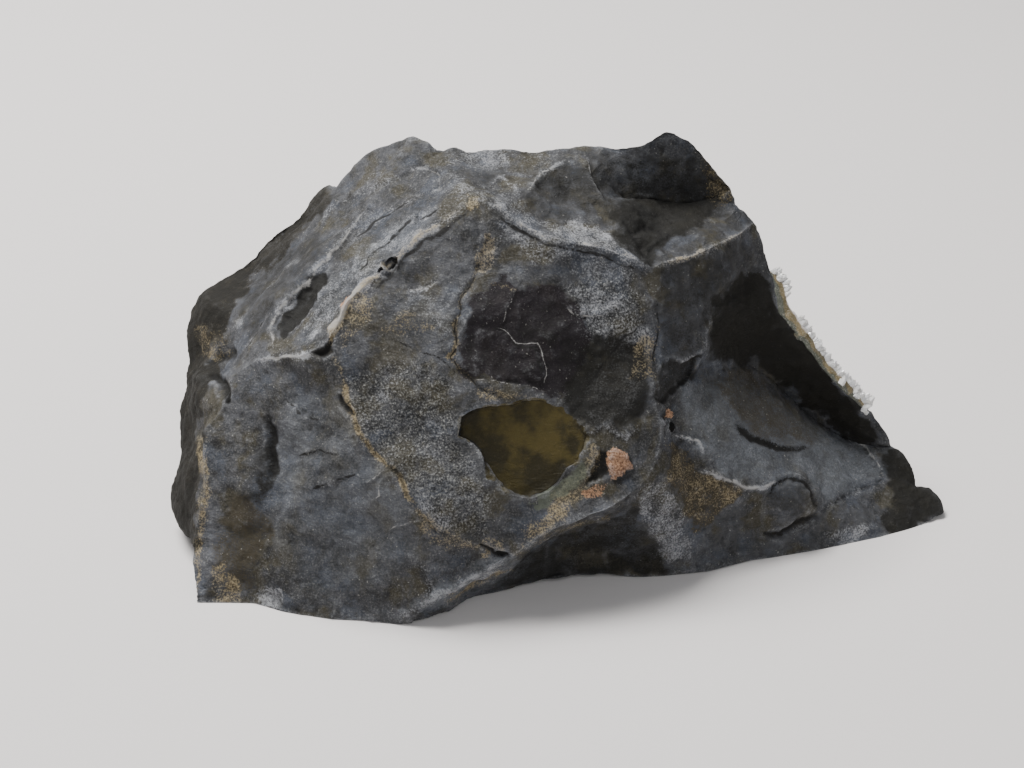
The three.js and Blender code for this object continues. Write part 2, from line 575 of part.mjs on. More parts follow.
function hollowTriangles(last) {
  const triangles = [];
  const at = (ring, sector) => 1 + (ring - 1) * hollowSectors + (sector % hollowSectors);
  for (let sector = 0; sector < hollowSectors; sector += 1) {
    triangles.push([0, at(1, sector + 1), at(1, sector)]);
    for (let ring = 1; ring <= hollowRings; ring += 1) {
      const [a, b] = [at(ring, sector), at(ring, sector + 1)];
      const [c, d] = [at(ring + 1, sector), at(ring + 1, sector + 1)];
      triangles.push([a, d, c], [a, b, d]);
    }
    const [a, b] = [at(hollowRings + 1, sector), at(hollowRings + 1, sector + 1)];
    triangles.push([last, a, b]);
  }
  return triangles;
}

// the same surface moved into the hollow
function shrunk(geometry, inset) {
  const result = geometry.clone();
  const position = result.getAttribute('position');
  const normal = geometry.getAttribute('normal');
  for (let i = 0; i < position.count; i += 1) {
    const moved = new THREE.Vector3().fromBufferAttribute(position, i);
    moved.addScaledVector(new THREE.Vector3().fromBufferAttribute(normal, i), -inset);
    position.setXYZ(i, moved.x, moved.y, moved.z);
  }
  return result;
}

// ---- crystals ------------------------------------------------------------------------------
const crystalTurn = Math.PI * (3 - Math.sqrt(5)); // between one crystal and the next on the spiral
const hollowSpan = 72; // the spiral reaches past the hollow's far end

function chance(seed) {
  const wave = Math.sin(seed * 127.1 + 11.7) * 43758.5453;
  return wave - Math.floor(wave);
}

// the six-sided pyramid of a crystal, from its foot in the layer along its axis
function crystalGeometry(radius, height, foot, axis, seed) {
  const geometry = new THREE.ConeGeometry(radius, height, 6).translate(0, height / 2, 0);
  geometry.rotateY(chance(seed + 0.4) * Math.PI);
  const upright = new THREE.Vector3(0, 1, 0);
  geometry.applyQuaternion(new THREE.Quaternion().setFromUnitVectors(upright, axis));
  return geometry.translate(foot.x, foot.y, foot.z);
}

function leaning(direction, amount, seed) {
  const lean = new THREE.Vector3(chance(seed + 0.1), chance(seed + 0.2), chance(seed + 0.3));
  return direction.clone().addScaledVector(lean.subScalar(0.5), amount).normalize();
}

// crystals over the layer in a spiral, largest in the middle of the hollow
function hollowCrystals(hollow) {
  const lining = new THREE.Mesh(hollow, new THREE.MeshBasicMaterial({ side: THREE.DoubleSide }));
  const crystals = [];
  let reach = 0;
  for (let i = 0; reach < hollowSpan; i += 1) {
    const spacing = crystalSpacing * (1 - 0.3 * THREE.MathUtils.smoothstep(reach, 10, 60));
    reach = Math.sqrt(reach * reach + (spacing * spacing) / Math.PI);
    const x = hollowMiddle.x + reach * Math.cos(i * crystalTurn);
    const z = hollowMiddle.z + reach * Math.sin(i * crystalTurn);
    const ray = new THREE.Raycaster(new THREE.Vector3(x, 60, z), new THREE.Vector3(0, -1, 0));
    const seat = ray.intersectObject(lining).at(-1);
    if (!seat || rimStops.some((stop) => stop.distanceTo(seat.point) < 7)) continue;
    const radius = spacing * (0.56 + 0.14 * chance(i));
    const axis = leaning(seat.face.normal.clone().negate(), 0.5, i);
    const foot = seat.point.addScaledVector(axis, seatGap + layerThickness * 0.75);
    crystals.push(crystalGeometry(radius, radius * 1.25, foot, axis, i));
  }
  return crystals;
}

// rows of small crystals along the right rim, standing outwards from the layer's edge
function rimCrystals() {
  const places = ridges.rimOuter.map((stop) => sighted(typeof stop === 'string' ? corners[stop] : stop));
  const edge = new THREE.CatmullRomCurve3(places);
  const count = Math.round(edge.getLength() / rimSpacing);
  const outwards = new THREE.Vector3(0.55, 0.6, 0.55);
  const crystals = [];
  for (const row of [0, 1]) {
    for (let i = 0; i < count; i += 1) {
      const seed = 500 + row * 100 + i;
      const foot = edge.getPointAt((i + 0.3 + 0.4 * chance(seed)) / count);
      foot.add(new THREE.Vector3(-0.9, 1.2 + row * 1.7, -0.9));
      const radius = rimSpacing * (0.6 + 0.3 * chance(seed + 0.7));
      crystals.push(crystalGeometry(radius, radius * 2, foot, leaning(outwards, 0.9, seed), seed));
    }
  }
  return crystals;
}

// drops the slivers that cutting leaves beside a solid
function largestOf(solid) {
  return solid.decompose().sort((a, b) => b.volume() - a.volume())[0];
}

// ---- build ---------------------------------------------------------------------------------
const ground = new THREE.BoxGeometry(300, 300, 20).translate(0, 0, -10);
const body = solidOf(buildRock()).subtract(solidOf(ground));
const hollow = buildHollow();

let rock = body.subtract(solidOf(hollow));
rock = rock.subtract(solidOf(sightPrism(pitOutline, pitFloor, pitFloor + 12, pitLean)));
for (const { at, out, length, width } of holes) {
  rock = rock.subtract(solidOf(sightPrism(holeOutline(at, length, width), out - 2.4, out + 8, 0)));
}

// the lining fills the hollow from just inside the rock; crystals that it doesn't hold are left out
const cavity = solidOf(shrunk(hollow, seatGap));
const layer = cavity.subtract(solidOf(shrunk(hollow, seatGap + layerThickness))).intersect(body);
const crystals = [...hollowCrystals(hollow), ...rimCrystals()].map(solidOf);
const rooted = crystals.filter((crystal) => {
  const held = crystal.intersect(layer).volume() > crystal.volume() * 0.03;
  return held && crystal.boundingBox().max[1] < backLimit;
});
const crust = largestOf(wasm.Manifold.union([layer, ...rooted]).intersect(cavity));

const basalt = new THREE.MeshStandardMaterial({ color: 0x474b52, roughness: 0.88, metalness: 0 });
const quartz = new THREE.MeshStandardMaterial({ color: 0x8f78b8, roughness: 0.22, metalness: 0 });

const basaltMatrix = new THREE.Mesh(geometryFrom(largestOf(rock)), basalt);
basaltMatrix.name = 'basalt_matrix';

const crystalCrust = new THREE.Mesh(geometryFrom(crust), quartz);
crystalCrust.name = 'crystal_crust';

const geode = new THREE.Group();
geode.name = 'amethyst_geode_piece';
geode.add(basaltMatrix, crystalCrust);


export default geode;
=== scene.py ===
"""Amethyst geode piece: weathered basalt outside, chalcedony and amethyst crystals in the hollow behind."""

import math
import random

import bmesh
import bpy
import numpy as np
from mathutils import Matrix, Vector, noise
from mathutils.bvhtree import BVHTree


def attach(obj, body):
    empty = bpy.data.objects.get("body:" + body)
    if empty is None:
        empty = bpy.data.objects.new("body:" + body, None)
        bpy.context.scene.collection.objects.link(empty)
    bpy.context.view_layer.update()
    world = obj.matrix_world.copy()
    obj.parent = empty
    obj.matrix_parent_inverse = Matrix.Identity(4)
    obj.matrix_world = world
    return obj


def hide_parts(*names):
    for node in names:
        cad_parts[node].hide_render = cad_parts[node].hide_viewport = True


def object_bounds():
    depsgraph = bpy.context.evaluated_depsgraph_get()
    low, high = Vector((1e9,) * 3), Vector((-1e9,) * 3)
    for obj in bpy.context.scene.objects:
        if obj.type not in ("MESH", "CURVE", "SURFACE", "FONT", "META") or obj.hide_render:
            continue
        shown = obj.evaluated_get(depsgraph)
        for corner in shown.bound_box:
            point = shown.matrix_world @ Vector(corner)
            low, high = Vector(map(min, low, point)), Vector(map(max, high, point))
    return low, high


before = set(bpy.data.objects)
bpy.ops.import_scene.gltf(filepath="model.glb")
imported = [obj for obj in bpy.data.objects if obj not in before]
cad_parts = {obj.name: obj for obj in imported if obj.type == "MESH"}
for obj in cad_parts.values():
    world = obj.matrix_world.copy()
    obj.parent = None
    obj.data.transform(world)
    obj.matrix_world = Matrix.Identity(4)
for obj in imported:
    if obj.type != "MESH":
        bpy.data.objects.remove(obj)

cad_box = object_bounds()

# ---- basalt: the stone and its surface ---------------------------------------------------------
# The matrix is a slab of fine-grained basalt broken out of the wall of a gas hollow. Its outer
# side is old fracture faces: conchoidal steps, mineral-filled seams and dusty crests. The shape
# is the solid's own, with a finer mesh, its facets rounded off and the small relief raised on it.

MM = 0.001
sight_point = Vector((-8, 10.5, 19.4)) * MM
eye_distance = 300 * MM
eye_elevation = math.radians(30)
towards_eye = Vector((0, -math.cos(eye_elevation), math.sin(eye_elevation)))
eye = sight_point + towards_eye * eye_distance
seen_edge = 0.62 * MM
open_edge = 1.15 * MM
lined_edge = 2.6 * MM
crease_angle = math.radians(26)
refine_rounds = 4
weld_distance = 1e-7
towards_corner = 0.8
sight_slack = 0.1 * MM
seat_gap = 0.3 * MM
lined_gap = 0.2 * MM


def merged_copy(node):
    """The node's solid as one closed bmesh."""
    shape = bmesh.new()
    shape.from_mesh(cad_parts[node].data)
    bmesh.ops.remove_doubles(shape, verts=shape.verts, dist=weld_distance)
    return shape


def sight_places(points):
    """Where points lie as the front is seen: across, up and out from the sighted point, in mm."""
    offset = points - np.array(sight_point)
    out = offset @ np.array(towards_eye)
    nearer = (eye_distance - out) / eye_distance
    rise = offset[:, 1] * math.sin(eye_elevation) + offset[:, 2] * math.cos(eye_elevation)
    return np.stack((offset[:, 0] / nearer, rise / nearer), axis=1) / MM, out / MM


rock = merged_copy("basalt_matrix")
crust = merged_copy("crystal_crust")
rock_tree = BVHTree.FromBMesh(rock)
crust_tree = BVHTree.FromBMesh(crust)


def is_seen(face):
    """Whether any of the face shows from the front."""
    middle = face.calc_center_median()
    for sample in [middle, *(middle.lerp(v.co, towards_corner) for v in face.verts)]:
        way = sample - eye
        hit = rock_tree.ray_cast(eye, way.normalized())
        if hit[3] is not None and hit[3] > way.length - sight_slack:
            return True
    return False


def is_lined(face):
    """Whether the crust lies on the face."""
    above = face.calc_center_median() + face.normal * seat_gap
    return crust_tree.find_nearest(above)[3] < lined_gap


zone = rock.faces.layers.int.new("zone")
OPEN, SEEN, LINED = 0, 1, 2
for face in rock.faces:
    face[zone] = LINED if is_lined(face) else SEEN if is_seen(face) else OPEN
lined_faces = [[v.co.copy() for v in face.verts] for face in rock.faces if face[zone] == LINED]
for edge in rock.edges:
    edge.smooth = edge.calc_face_angle() < crease_angle

longest = {OPEN: open_edge, SEEN: seen_edge, LINED: lined_edge}
for _ in range(refine_rounds):
    long = [e for e in rock.edges if e.calc_length() > min(longest[f[zone]] for f in e.link_faces)]
    bmesh.ops.subdivide_edges(rock, edges=long, cuts=1)
    split = [f for f in rock.faces if len(f.verts) > 3]
    bmesh.ops.triangulate(rock, faces=split, quad_method="SHORT_EDGE")

rock.verts.index_update()
points = np.array([v.co for v in rock.verts])
pairs = np.array([[v.index for v in e.verts] for e in rock.edges])
sharp = np.array([not e.smooth for e in rock.edges])
seen_share = np.array([any(f[zone] == SEEN for f in v.link_faces) for v in rock.verts], float)


def neighbour_mean(values, chosen=slice(None)):
    """The mean of each vertex's neighbours over the chosen edges, and how many they are."""
    a, b = pairs[chosen].T
    count = np.bincount(a, minlength=len(points)) + np.bincount(b, minlength=len(points))
    columns = values if values.ndim == 2 else values[:, None]
    total = [
        np.bincount(a, column[b], len(points)) + np.bincount(b, column[a], len(points))
        for column in columns.T
    ]
    mean = np.stack(total, axis=1) / np.maximum(count, 1)[:, None]
    return mean.reshape(values.shape), count


# facets rounded off: faces smooth out between their ridges, and a ridge only along itself
rounding_rounds = 9
spread_rounds = 3
face_pull, ridge_pull, along_pull = 0.6, 0.06, 0.35
ridge_count = neighbour_mean(points, sharp)[1]
pull = np.where(ridge_count > 0, ridge_pull, face_pull)[:, None]
slide = np.where(ridge_count == 2, along_pull, 0.0)[:, None]
for _ in range(rounding_rounds):
    full = neighbour_mean(points)[0]
    along = neighbour_mean(points, sharp)[0]
    points = points + pull * (full - points)
    points += slide * (along - points)
for _ in range(spread_rounds):
    seen_share = neighbour_mean(seen_share)[0]
flat = sight_places(points)[0]

# lines of the front: crests, seams, cracks and veins, as (across, up) in mm
lines = {
    "left_crest": [(-6.3, 31), (-9.5, 28.5), (-12, 26.8), (-15, 25.3), (-18, 22.5), (-19.5, 20.3),
        (-21.5, 19), (-24, 17), (-26, 15), (-28, 12.5), (-29, 9.5), (-31, 6.5)],
    "right_crest": [(-6, 31), (-3, 29.5), (0, 27.5), (2, 26), (5, 24.7), (8, 23.8), (12, 23.5), (15, 22.7),
        (18, 22), (20, 20.7), (21.5, 19.5), (23, 19)],
    "right_shadow": [(-5.5, 29.3), (-2.5, 28), (0.5, 26), (3, 24.6), (6, 23.3), (10, 22.4), (15, 21.4),
        (19.5, 19.6), (22.5, 17.8)],
    "left_shadow": [(-7.5, 28.2), (-11.5, 25.6), (-14.5, 24.1), (-17.5, 21.4), (-20, 18.6), (-23, 15.6)],
    "hair_shadow": [(-2, 8.4), (0.2, 7.2), (1.2, 6.1), (4.2, 6.1), (4.7, 3), (4.6, 0.8)],
    "far_crest": [(23, 19), (25, 20), (30, 21.2), (33, 22.5), (35, 23.5), (38, 25), (39.5, 26.5)],
    "ledge": [(-33, 5), (-35, 4.6), (-38.5, 4.3), (-42.5, 4.1)],
    "fracture": [(-24, 30), (-28, 25), (-31, 20.5), (-35, 16.5), (-39, 12.5), (-40, 10), (-39.5, 5.5)],
    "seam": [(-31, 6), (-28.5, 2), (-27.5, -2), (-26.5, -6), (-25, -9), (-23, -11.5), (-21, -13.5),
        (-19, -15), (-18, -17), (-17.5, -19), (-16, -20), (-14.5, -22), (-13.5, -24), (-11, -25),
        (-9, -26)],
    "seam_crack": [(-29, -1.5), (-28, -3.5), (-26.7, -5.2)],
    "branch_a": [(-21.3, -14), (-23, -15.8), (-25, -17)],
    "branch_b": [(-21.5, -15), (-22, -17), (-22, -18.5), (-24.5, -19.5)],
    "branch_c": [(-15, -23), (-17, -22.8), (-19, -23.5), (-21, -24.5)],
    "centre_seam": [(-5.5, 24), (-6, 19), (-8.3, 14.5), (-9.3, 10), (-9.5, 6), (-10.5, 4.5), (-8.5, 2),
        (-6.5, 0.5), (-5, -0.8), (-1, -3.3)],
    "dust_line": [(-18, 15.5), (-15, 16), (-12, 17.5)],
    "hairline": [(-2.5, 9.2), (-1, 9), (0, 8), (1, 6.8), (3, 6.8), (4.5, 6.8), (5.2, 5.8), (5.5, 3),
        (5.3, 1), (5.5, 0)],
    "hairline_up": [(1, 16), (0, 13.8), (-1, 12.5), (-1.3, 11), (-1.8, 9.5)],
    "brown_line": [(-5, 17), (-2, 16.3), (0, 15.8), (1.5, 16)],
    "plate_base": [(-7, 1), (-3, 0.6), (0, 0), (3, -0.5), (6, -1.5)],
    "mottle_line": [(8, 14), (10, 12), (12, 11.2), (14, 11), (17, 12.5)],
    "plate_edge": [(24.5, 15), (24.5, 10), (24, 5), (23.5, -2)],
    "plate_top": [(25, 3.5), (28, 4), (30, 4.5), (32, 6), (32.5, 10), (34, 12.5), (36, 15.5)],
    "plate_foot": [(23.5, -2), (25.5, -3), (28, -0.5), (30, 1.5), (31, 4.5)],
    "black_fracture": [(37, -6.5), (38.5, -8), (40, -9), (43, -10.3), (46, -11), (50, -11)],
    "lens_edge": [(56, -9.5), (59, -11), (61, -13), (62, -15.5)],
    "shelf_crest": [(31, -14.5), (35, -15.5), (39, -17.5), (43, -16.8), (44.5, -16)],
    "lump_edge": [(42.6, -19), (43.5, -17), (46, -15.6), (48.5, -16.3), (49.8, -18.5), (51.5, -21.3)],
    "lump_line": [(51, -21.3), (55, -19), (58, -17.5), (62, -16)],
    "lump_crack": [(41.5, -25), (45, -25.2), (48, -23), (51, -21.5)],
    "chip_crest": [(27, -8.5), (29, -8.8), (31, -9.5), (32, -12)],
    "lip": [(0, -29), (2, -27.5), (5, -25.5), (8, -24), (10, -23), (13, -22.5), (16, -22), (18, -20.5),
        (20, -18.5)],
    "lip_crack": [(-5.5, -26.5), (-3, -28.5), (0, -29)],
    "pit_rim": [(-9, -8.5), (-7, -9.5), (-5.5, -11), (-5, -13), (-4, -15.5), (-2, -17.5), (0, -18.7),
        (3, -19.2), (6, -18), (8, -16), (9, -14), (11, -13), (12, -11)],
    "right_streak": [(12, -8.5), (15, -7), (19, -9), (22, -7)],
    "cleft": [(-41, -5), (-40.3, -7.5), (-40, -10), (-39.8, -13), (-40, -16)],
    "slab_spine": [(-44.5, -4), (-44, -9), (-43, -14)],
    "lobe_edge": [(-50, 1.5), (-48, 0), (-47.5, -3.5)],
    "lobe_cavity": [(-50.5, 3), (-48.5, 4.5), (-46, 5.5)],
    "left_strip": [(-52.5, -35), (-52.3, -30), (-52, -24), (-51.2, -18), (-51.5, -12), (-51.7, -8)],
    "side_streak": [(0, -30), (-4, -32.5), (-8, -34.5), (-12, -37)],
    "side_ridge": [(-1, -29.6), (-5, -31.6), (-10, -34), (-14, -35.6), (-18, -39)],
    "toe_step": [(-15, -29.5), (-14.5, -32), (-13.5, -34), (-14.5, -36.5)],
    "wedge_a": [(-4, 33), (-1.5, 34.5), (1, 31)],
    "rib": [(2, 31.5), (5, 35), (9, 37)],
    "top_line": [(12.5, 38.5), (13, 35), (15, 32), (15.5, 30)],
    "notch_lines": [(-17.5, 35.2), (-15, 35.8), (-13, 35.5), (-12.2, 33), (-13.5, 32.2)],
    "upper_a": [(-33, 25), (-30.5, 28.5), (-27, 31), (-22, 33), (-17, 35)],
    "upper_b": [(-29, 22), (-26, 25), (-22, 27.5), (-18, 30), (-13, 32)],
    "upper_c": [(-27, 17.5), (-24, 20.5), (-20, 24.5), (-16, 27.5), (-11, 30)],
    "upper_d": [(-36, 7), (-33, 11), (-30, 15), (-27, 19)],
    "outer_band": [(-45.5, 17), (-43, 19.5), (-39, 23.5), (-35, 27), (-31, 30.5)],
    "outer_a": [(-47, 8), (-43.5, 13), (-39, 18), (-34, 22.5)],
    "outer_b": [(-44.5, 5.5), (-42, 9), (-40.5, 12)],
    "slab_a": [(-39, -2), (-35, -5), (-31, -6.5)],
    "slab_b": [(-36, -12), (-32, -11), (-28, -12.5)],
    "slab_c": [(-34, -17.5), (-30, -16.5), (-26, -15)],
    "notch_side": [(23.5, 18.5), (20.5, 24), (17.5, 27.5)],
    "dark_fold": [(27, 24.5), (22, 26), (19.5, 25)],
    "pocket_fold": [(41, 4), (46, 0), (51, -4.5), (57, -8.5)],
    "rib_low": [(15, -28), (16, -31)],
    "dark_left": [(38.5, 20), (34, 17), (31, 13), (29.5, 9)],
    "cream_line": [(-31.2, 7), (-29.6, 9.8), (-28.1, 12.4), (-26.8, 14.4), (-25.4, 15.8), (-23.8, 17.2)],
    "cross_a": [(-8.5, 1), (-12, 4), (-16, 5.6), (-21, 7.5)],
    "cross_b": [(12, -1), (15, 2.5), (18, 7), (22, 9.5)],
    "rim": [(43.3, 18.6), (44, 15.4), (45, 12.2), (47.4, 9.4), (49.6, 6.2), (51.5, 2.6), (54, 0.3),
        (56.1, -2.4), (60.2, -5)],
}

# patches of the front: pit, chips, plates and stained areas, as (across, up) in mm
patches = {
    "pit": [(-9, -8.5), (-8.5, -5.5), (-6, -4), (-3, -3.5), (0, -3.5), (2, -2.5), (5, -2.5), (8, -4),
        (11, -6.5), (12.5, -8.5), (12, -11), (11, -13), (9, -14), (8, -16), (6, -18), (3, -19.2),
        (0, -18.7), (-2, -17.5), (-4, -15.5), (-5, -13), (-5.5, -11), (-7, -9.5)],
    "chip": [(15.5, -10.5), (17.5, -10.8), (19.5, -11.5), (20, -14), (18.5, -15.5), (16, -15.5),
        (15.7, -13)],
    "chip_shadow": [(14.8, -11), (16.1, -11.6), (15.6, -14.6), (13.6, -16.6), (12, -17.3), (13, -15)],
    "chip_low": [(11.5, -18), (14, -16.8), (16, -16.6), (14.5, -18.6), (12.3, -19.6)],
    "green": [(10, -13.5), (12.3, -12), (13.2, -14), (12, -16.5), (8, -19), (4, -21.5), (3, -20),
        (7.5, -17.5)],
    "pit_low": [(-9, -8.5), (-5, -9), (-1, -13), (4, -17), (9, -15), (6, -18), (3, -19.2), (-2, -17.5),
        (-5, -13)],
    "pit_stain": [(11, -13), (13.5, -10.5), (15.5, -12), (13, -17), (15, -18), (10, -21), (5, -25),
        (2, -27), (1, -24), (6, -20.5)],
    "pit_top": [(-6, -1), (-3, -1), (3, -2), (7, -3.5), (4, -3), (-1, -3.2), (-5, -3)],
    "violet": [(-8, 1), (-7.5, 8), (-6, 15), (-2, 17), (3, 16), (9, 16), (12, 13), (13, 8), (12, 2),
        (9, -2), (6, -2), (3, 0), (-2, 0.5)],
    "violet_warm": [(0, 8), (3, 14), (9, 14), (11, 8), (10, 2), (6, 2), (6, 7)],
    "centre_plate": [(-2.5, 9.2), (0, 8), (1, 6.8), (4.5, 6.8), (5.5, 3), (5.3, 0.6), (2, -0.2), (-3, 0.7),
        (-6.5, 1.5), (-7, 6), (-5.5, 9)],
    "sliver": [(-31, 19.5), (-34, 17.5), (-38.3, 12.3), (-39, 9.5), (-38.2, 8), (-35, 10.5), (-33, 13.5),
        (-31, 17)],
    "brown_lobes": [(-60, -28), (-52.8, -28), (-52, -17), (-52.2, -8), (-50.5, -3), (-49, 1), (-50, 6),
        (-47.5, 10), (-46, 14), (-43, 18), (-46, 22), (-52, 20), (-60, 8)],
    "outer_facet": [(-46, 9), (-46, 16), (-38, 23), (-32, 26), (-31, 22), (-38, 14.5), (-41, 7)],
    "outer_band": [(-46, 16), (-42, 19), (-38, 22.5), (-34, 26), (-30, 30), (-31, 35), (-36, 30), (-43, 23),
        (-50, 18)],
    "lobe": [(-53.5, 2), (-50.5, 1.8), (-48.3, 0), (-47.8, -3), (-49, -4.5), (-52, -5)],
    "lobe_gold": [(-52.5, 9), (-49.5, 9.5), (-47.6, 5.5), (-50, 3.6), (-52.4, 4.5)],
    "slab_brown": [(-48, -18), (-44, -17), (-41, -22), (-41.5, -30), (-43, -34), (-48, -35), (-49.5, -28)],
    "corner_ochre": [(-50, -31), (-48, -30), (-45, -34.5), (-45, -37), (-50, -37)],
    "cleft_shade": [(-42, -5.5), (-40, -5.5), (-39.3, -12), (-39.6, -19), (-42.5, -20.5), (-44.5, -19),
        (-41.5, -14)],
    "chip_pale": [(-42.5, -34.5), (-39, -34.8), (-37.6, -37.6), (-41.5, -37.2)],
    "crest_gold": [(-26.8, 15), (-24.3, 15.8), (-22.8, 14), (-23.5, 11), (-26.5, 7), (-28.5, 4), (-29.5, 6),
        (-28, 9)],
    "cream_crest": [(-26, 16), (-24.6, 16.4), (-26.8, 13.4), (-28.6, 9), (-30.4, 7), (-30.6, 8.6),
        (-28.8, 12)],
    "salmon_crest": [(-27.9, 14.6), (-26.8, 15), (-27, 13), (-28.2, 11.8), (-28.7, 13)],
    "notch": [(-33.2, 5.2), (-31.5, 7.2), (-29.8, 8.2), (-30, 5.6), (-31.6, 4.9)],
    "gold_left": [(-22, 9), (-19, 11.5), (-12, 10), (-13, 8.5), (-19, 8)],
    "peak_brown": [(-7.2, 31.4), (-5.6, 31.2), (-5.4, 29.4), (-6.6, 28.6), (-7.6, 30)],
    "cream_patch": [(-4.6, 25.5), (-3, 25.5), (-2.6, 21), (-4, 18.6), (-6, 19), (-5.6, 21)],
    "seam_cluster": [(-17, -23.5), (-14, -22), (-11, -24), (-7, -26), (-2, -25.8), (-1.5, -28), (-6, -28.6),
        (-10, -27.5), (-14, -26.5)],
    "cluster_white": [(-16, -19.5), (-13, -20), (-10, -22.5), (-10.5, -25), (-14, -24)],
    "top_dust": [(-13, 41), (-10, 30), (-6, 28.5), (0, 26.6), (4, 25), (14, 25), (10, 28), (4, 30),
        (3.5, 34), (8, 37.5), (13, 41), (0, 41)],
    "top_shadow": [(1.5, 31.5), (4, 35), (8.5, 36.8), (12.5, 35), (13, 30), (9, 28), (4, 28.5)],
    "top_notch": [(-8.5, 35.5), (-6, 36), (-2, 35), (-4, 32), (-8, 32.5)],
    "top_bright": [(-9.5, 38.5), (-7, 40.5), (-1, 40.5), (0, 37.5), (-4, 36.2), (-7, 36.6)],
    "band_dust": [(4, 27.4), (10, 27.2), (16, 25), (22, 20.6), (21, 19.6), (15, 22.9), (8, 24)],
    "peak_dust": [(-9, 34), (-5, 31.5), (1, 28), (5, 26), (4, 24.6), (-2, 28.4), (-8, 31)],
    "upper_light": [(-41, 5), (-44, 9), (-44.5, 15), (-40, 20), (-34, 26), (-28, 31), (-22, 36), (-16, 36),
        (-11, 33), (-9, 30), (-15, 26.5), (-21, 20.5), (-27, 15.5), (-31, 8.5), (-34, 5.4)],
    "upper_blue": [(-33, 6), (-30, 11), (-26, 17), (-19, 22.5), (-12, 28), (-16, 29), (-24, 23), (-31, 17),
        (-36, 8)],
    "scoop_shade": [(13, 37.5), (22, 38), (30, 38), (34, 32), (36, 28.5), (31, 27), (27, 23), (23, 20),
        (19, 25), (15, 28), (7, 30), (6, 32.5), (10, 34.5)],
    "scoop_gold": [(31, 37), (33.5, 37.5), (37.5, 32), (36, 29.5), (33, 31.5)],
    "scoop_facet": [(19.5, 25.5), (26.5, 25.2), (24, 22.5), (22.6, 21.8), (21, 23.5)],
    "far_ledge": [(24, 20.3), (27, 23), (31, 26.6), (35, 28.2), (39.5, 28.6), (40, 26.5), (37, 24.9),
        (33, 22.9), (29, 21.3)],
    "plate": [(25, 3.4), (23.6, -2), (25.5, -3), (28, -0.6), (30, 1.4), (31.4, 4.6), (29, 4.2)],
    "pocket_shade": [(34, 14), (38, 18.5), (42, 18), (44.5, 12.5), (49.5, 5.5), (56, -2.5), (59, -6),
        (62, -10), (57, -8.7), (51, -5), (46, -1), (40, 4), (33.5, 4), (33, 9)],
    "shelf_light": [(28, -1), (34, 1.5), (40, 0.5), (46, -4), (53, -9), (60, -10.5), (61.5, -15), (52, -20),
        (49.5, -17), (46, -15.2), (40, -17), (35, -15), (31, -11), (28, -7)],
    "shelf_warm": [(31, 1.5), (40, 3), (47, -3), (51, -7.5), (50, -10.5), (44, -10), (38, -6.5), (34, -3)],
    "gold_specks": [(20, 1), (24, 1), (24, 8), (21.5, 8)],
    "brown_patch": [(31, -14.5), (35, -15.5), (39, -17.5), (36, -20.5), (33, -23), (30, -25), (29, -20),
        (26, -16.5), (26, -10), (28, -9)],
    "salmon_spot": [(25.2, -5.6), (26.2, -4), (27.6, -4.2), (27.4, -5.8)],
    "chips_light": [(22, -16), (26, -17), (29, -22), (30, -28), (26, -30), (22.5, -26), (20.5, -20)],
    "tip_dark": [(61.5, -9), (63, -10), (72, -18), (73, -22), (64, -26), (62, -23), (63, -16)],
    "tip_spots": [(52, -25.5), (56, -23.5), (60, -24), (59, -26), (53, -27)],
    "under_lip": [(2, -28.2), (8, -24.6), (13, -23), (18, -21.2), (21, -20), (24, -26), (25.5, -31),
        (18, -33), (5, -34), (-4, -33.5)],
    "grain_left": [(-28, 1), (-22, 3), (-14, 4), (-10, 0), (-9.5, -9), (-5.5, -14), (-3, -19), (-5, -25),
        (-12, -24), (-17, -18), (-22, -12), (-26, -6)],
    "grain_upper": [(-22, 12), (-14, 15), (-9, 16), (-10, 8), (-14, 8), (-21, 7)],
    "centre_mottle": [(8, 16), (14, 18), (21, 15), (23, 8), (22, -2), (20, -8), (13, -7), (12, 0), (13, 7),
        (10, 12)],
    "centre_low": [(8, -1), (14, 8), (22, 6), (23, -3), (21, -8), (13, -7)],
    "scoop_low": [(15, 28), (19, 31), (27, 31), (34, 31), (31, 26.5), (27, 23), (23, 19.6), (18, 24)],
    "lump": [(42.6, -19.5), (43.8, -17), (46, -15.9), (48.3, -16.6), (49.6, -19), (47.5, -22.3), (44, -22)],
    "front_right": [(30, -24), (38, -20), (43, -22), (52, -21), (60, -18), (62, -24), (50, -27.5),
        (34, -31)],
    "dark_facet": [(24, 18.5), (32, 21), (38, 24), (42, 20), (43, 17), (36, 15), (32, 9), (30, 4.5),
        (25, 4)],
    "slab_film": [(-38, -1), (-31, -1), (-27, -6), (-22, -14), (-17, -21), (-16, -28), (-24, -34),
        (-36, -34), (-40, -24), (-39, -10)],
    "side_light": [(-18.5, -37.5), (-12, -33.4), (-6, -30), (-1, -28), (3, -29.5), (-2, -33), (-9, -37)],
    "under_crest": [(-3, 28), (8, 23), (14, 22.6), (20, 20), (22, 14), (15, 15), (8, 19), (-1, 24)],
}
end_fade = 0.2


def line_distance(line, closed=False):
    """How far each place in flat lies from the line, in mm, on which side of it, and how much of the
    line's strength is left there: it fades out towards both ends."""
    stops = [*line, line[0]] if closed else line
    nearest = np.full(len(flat), 1e6)
    side = np.ones(len(flat))
    along = np.zeros(len(flat))
    for index, (start, end) in enumerate(zip(stops, stops[1:])):
        start = np.array(start)
        step = np.array(end) - start
        offset = flat - start
        share = np.clip(offset @ step / (step @ step), 0, 1)
        distance = np.linalg.norm(offset - share[:, None] * step, axis=1)
        turn = step[0] * offset[:, 1] - step[1] * offset[:, 0]
        side = np.where(distance < nearest, np.sign(turn), side)
        along = np.where(distance < nearest, (index + share) / (len(stops) - 1), along)
        nearest = np.minimum(nearest, distance)
    fade = np.clip(np.minimum(along, 1 - along) / end_fade, 0, 1) ** 0.5
    return nearest, side, fade


